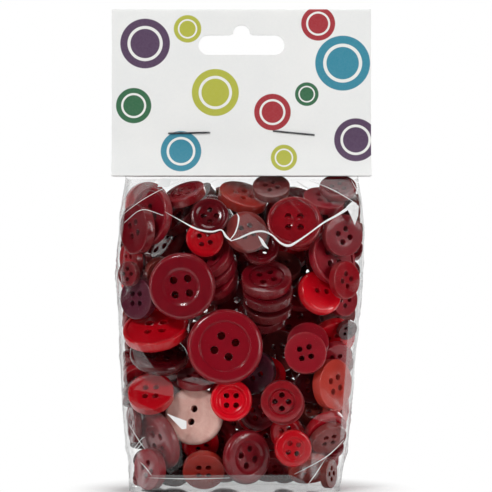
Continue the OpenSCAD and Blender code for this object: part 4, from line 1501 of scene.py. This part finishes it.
# %% The flags
# Each flag has its size and its place in metres, and its turn.
FLAGS = {
    "flag_front": (2.9, (0, -1.4, 0.4), (math.pi / 2, 0, 0)),
    "flag_left": (2.9, (-1.5, 0, 0.4), (0, math.pi / 2, 0)),
    "flag_right": (2.9, (1.5, 0, 0.4), (0, -math.pi / 2, 0)),
    "flag_low": (1.3, (0, -0.73, 0.001), (0, 0, 0)),
    "flag_top": (2.9, (0, 0, 1.8), (0, 0, 0)),
}
flag_finish, start = new_finish("black_flag")
close_finish(start, start.node("ShaderNodeBsdfDiffuse", None, {"Color": (0.02, 0.02, 0.02, 1)}))
for name, (size, place, turn) in FLAGS.items():
    bpy.ops.mesh.primitive_plane_add(size=size, location=place, rotation=turn)
    flag = bpy.context.object
    flag.name = name
    flag.data.materials.append(flag_finish)
    flag.visible_camera = False
    flag.visible_diffuse = False
    flag.visible_transmission = False
    flag.visible_shadow = False
print("flags:", list(FLAGS))

# %% [markdown]
# ## Lamps and camera
# Soft panels light the bag from the front, above and behind, and two narrow strips draw highlights along its
# sides. The camera stands straight in front. Its lens is worked out from the width that the picture takes in.

# %% Lamps
MIDDLE = Vector((0.0, 0.0, 0.07))
# Each lamp has its place, width and height in metres, and its watts.
LAMPS = {
    "key": ((-0.45, -0.75, 0.75), 0.24, 0.24, 4.4),
    "fill": ((0.7, -0.6, 0.3), 0.4, 0.4, 2.0),
    "top": ((0.1, 0.1, 0.9), 0.5, 0.5, 2.8),
    "behind": ((0.3, 0.8, 0.45), 0.5, 0.5, 2.6),
    "left_strip": ((-0.6, -0.25, 0.15), 0.06, 0.6, 1.1),
    "right_strip": ((0.6, -0.25, 0.15), 0.06, 0.6, 1.1),
}
for name, (place, width, height, watts) in LAMPS.items():
    panel = bpy.data.lights.new(name, "AREA")
    panel.shape = "RECTANGLE"
    panel.size = width
    panel.size_y = height
    panel.energy = watts
    lamp = linked(name, panel)
    lamp.location = place
    lamp.rotation_euler = (MIDDLE - Vector(place)).to_track_quat("-Z", "Y").to_euler()
print("lamps:", list(LAMPS))

# %% Camera
FRAME_PX = 492
MM_PER_PX = 0.3065
VIEW_FROM = 0.9
VIEW_X, VIEW_Z = 1.4, 74.5
SENSOR = 36
camera_data = bpy.data.cameras.new("camera")
camera_data.sensor_width = SENSOR
camera_data.lens = SENSOR * VIEW_FROM / (FRAME_PX * MM_PER_PX * MM)
camera = linked("camera", camera_data)
camera.location = (VIEW_X * MM, -VIEW_FROM, VIEW_Z * MM)
camera.rotation_euler = (math.pi / 2, 0, 0)
bpy.context.scene.camera = camera
print("lens in mm:", round(camera_data.lens))
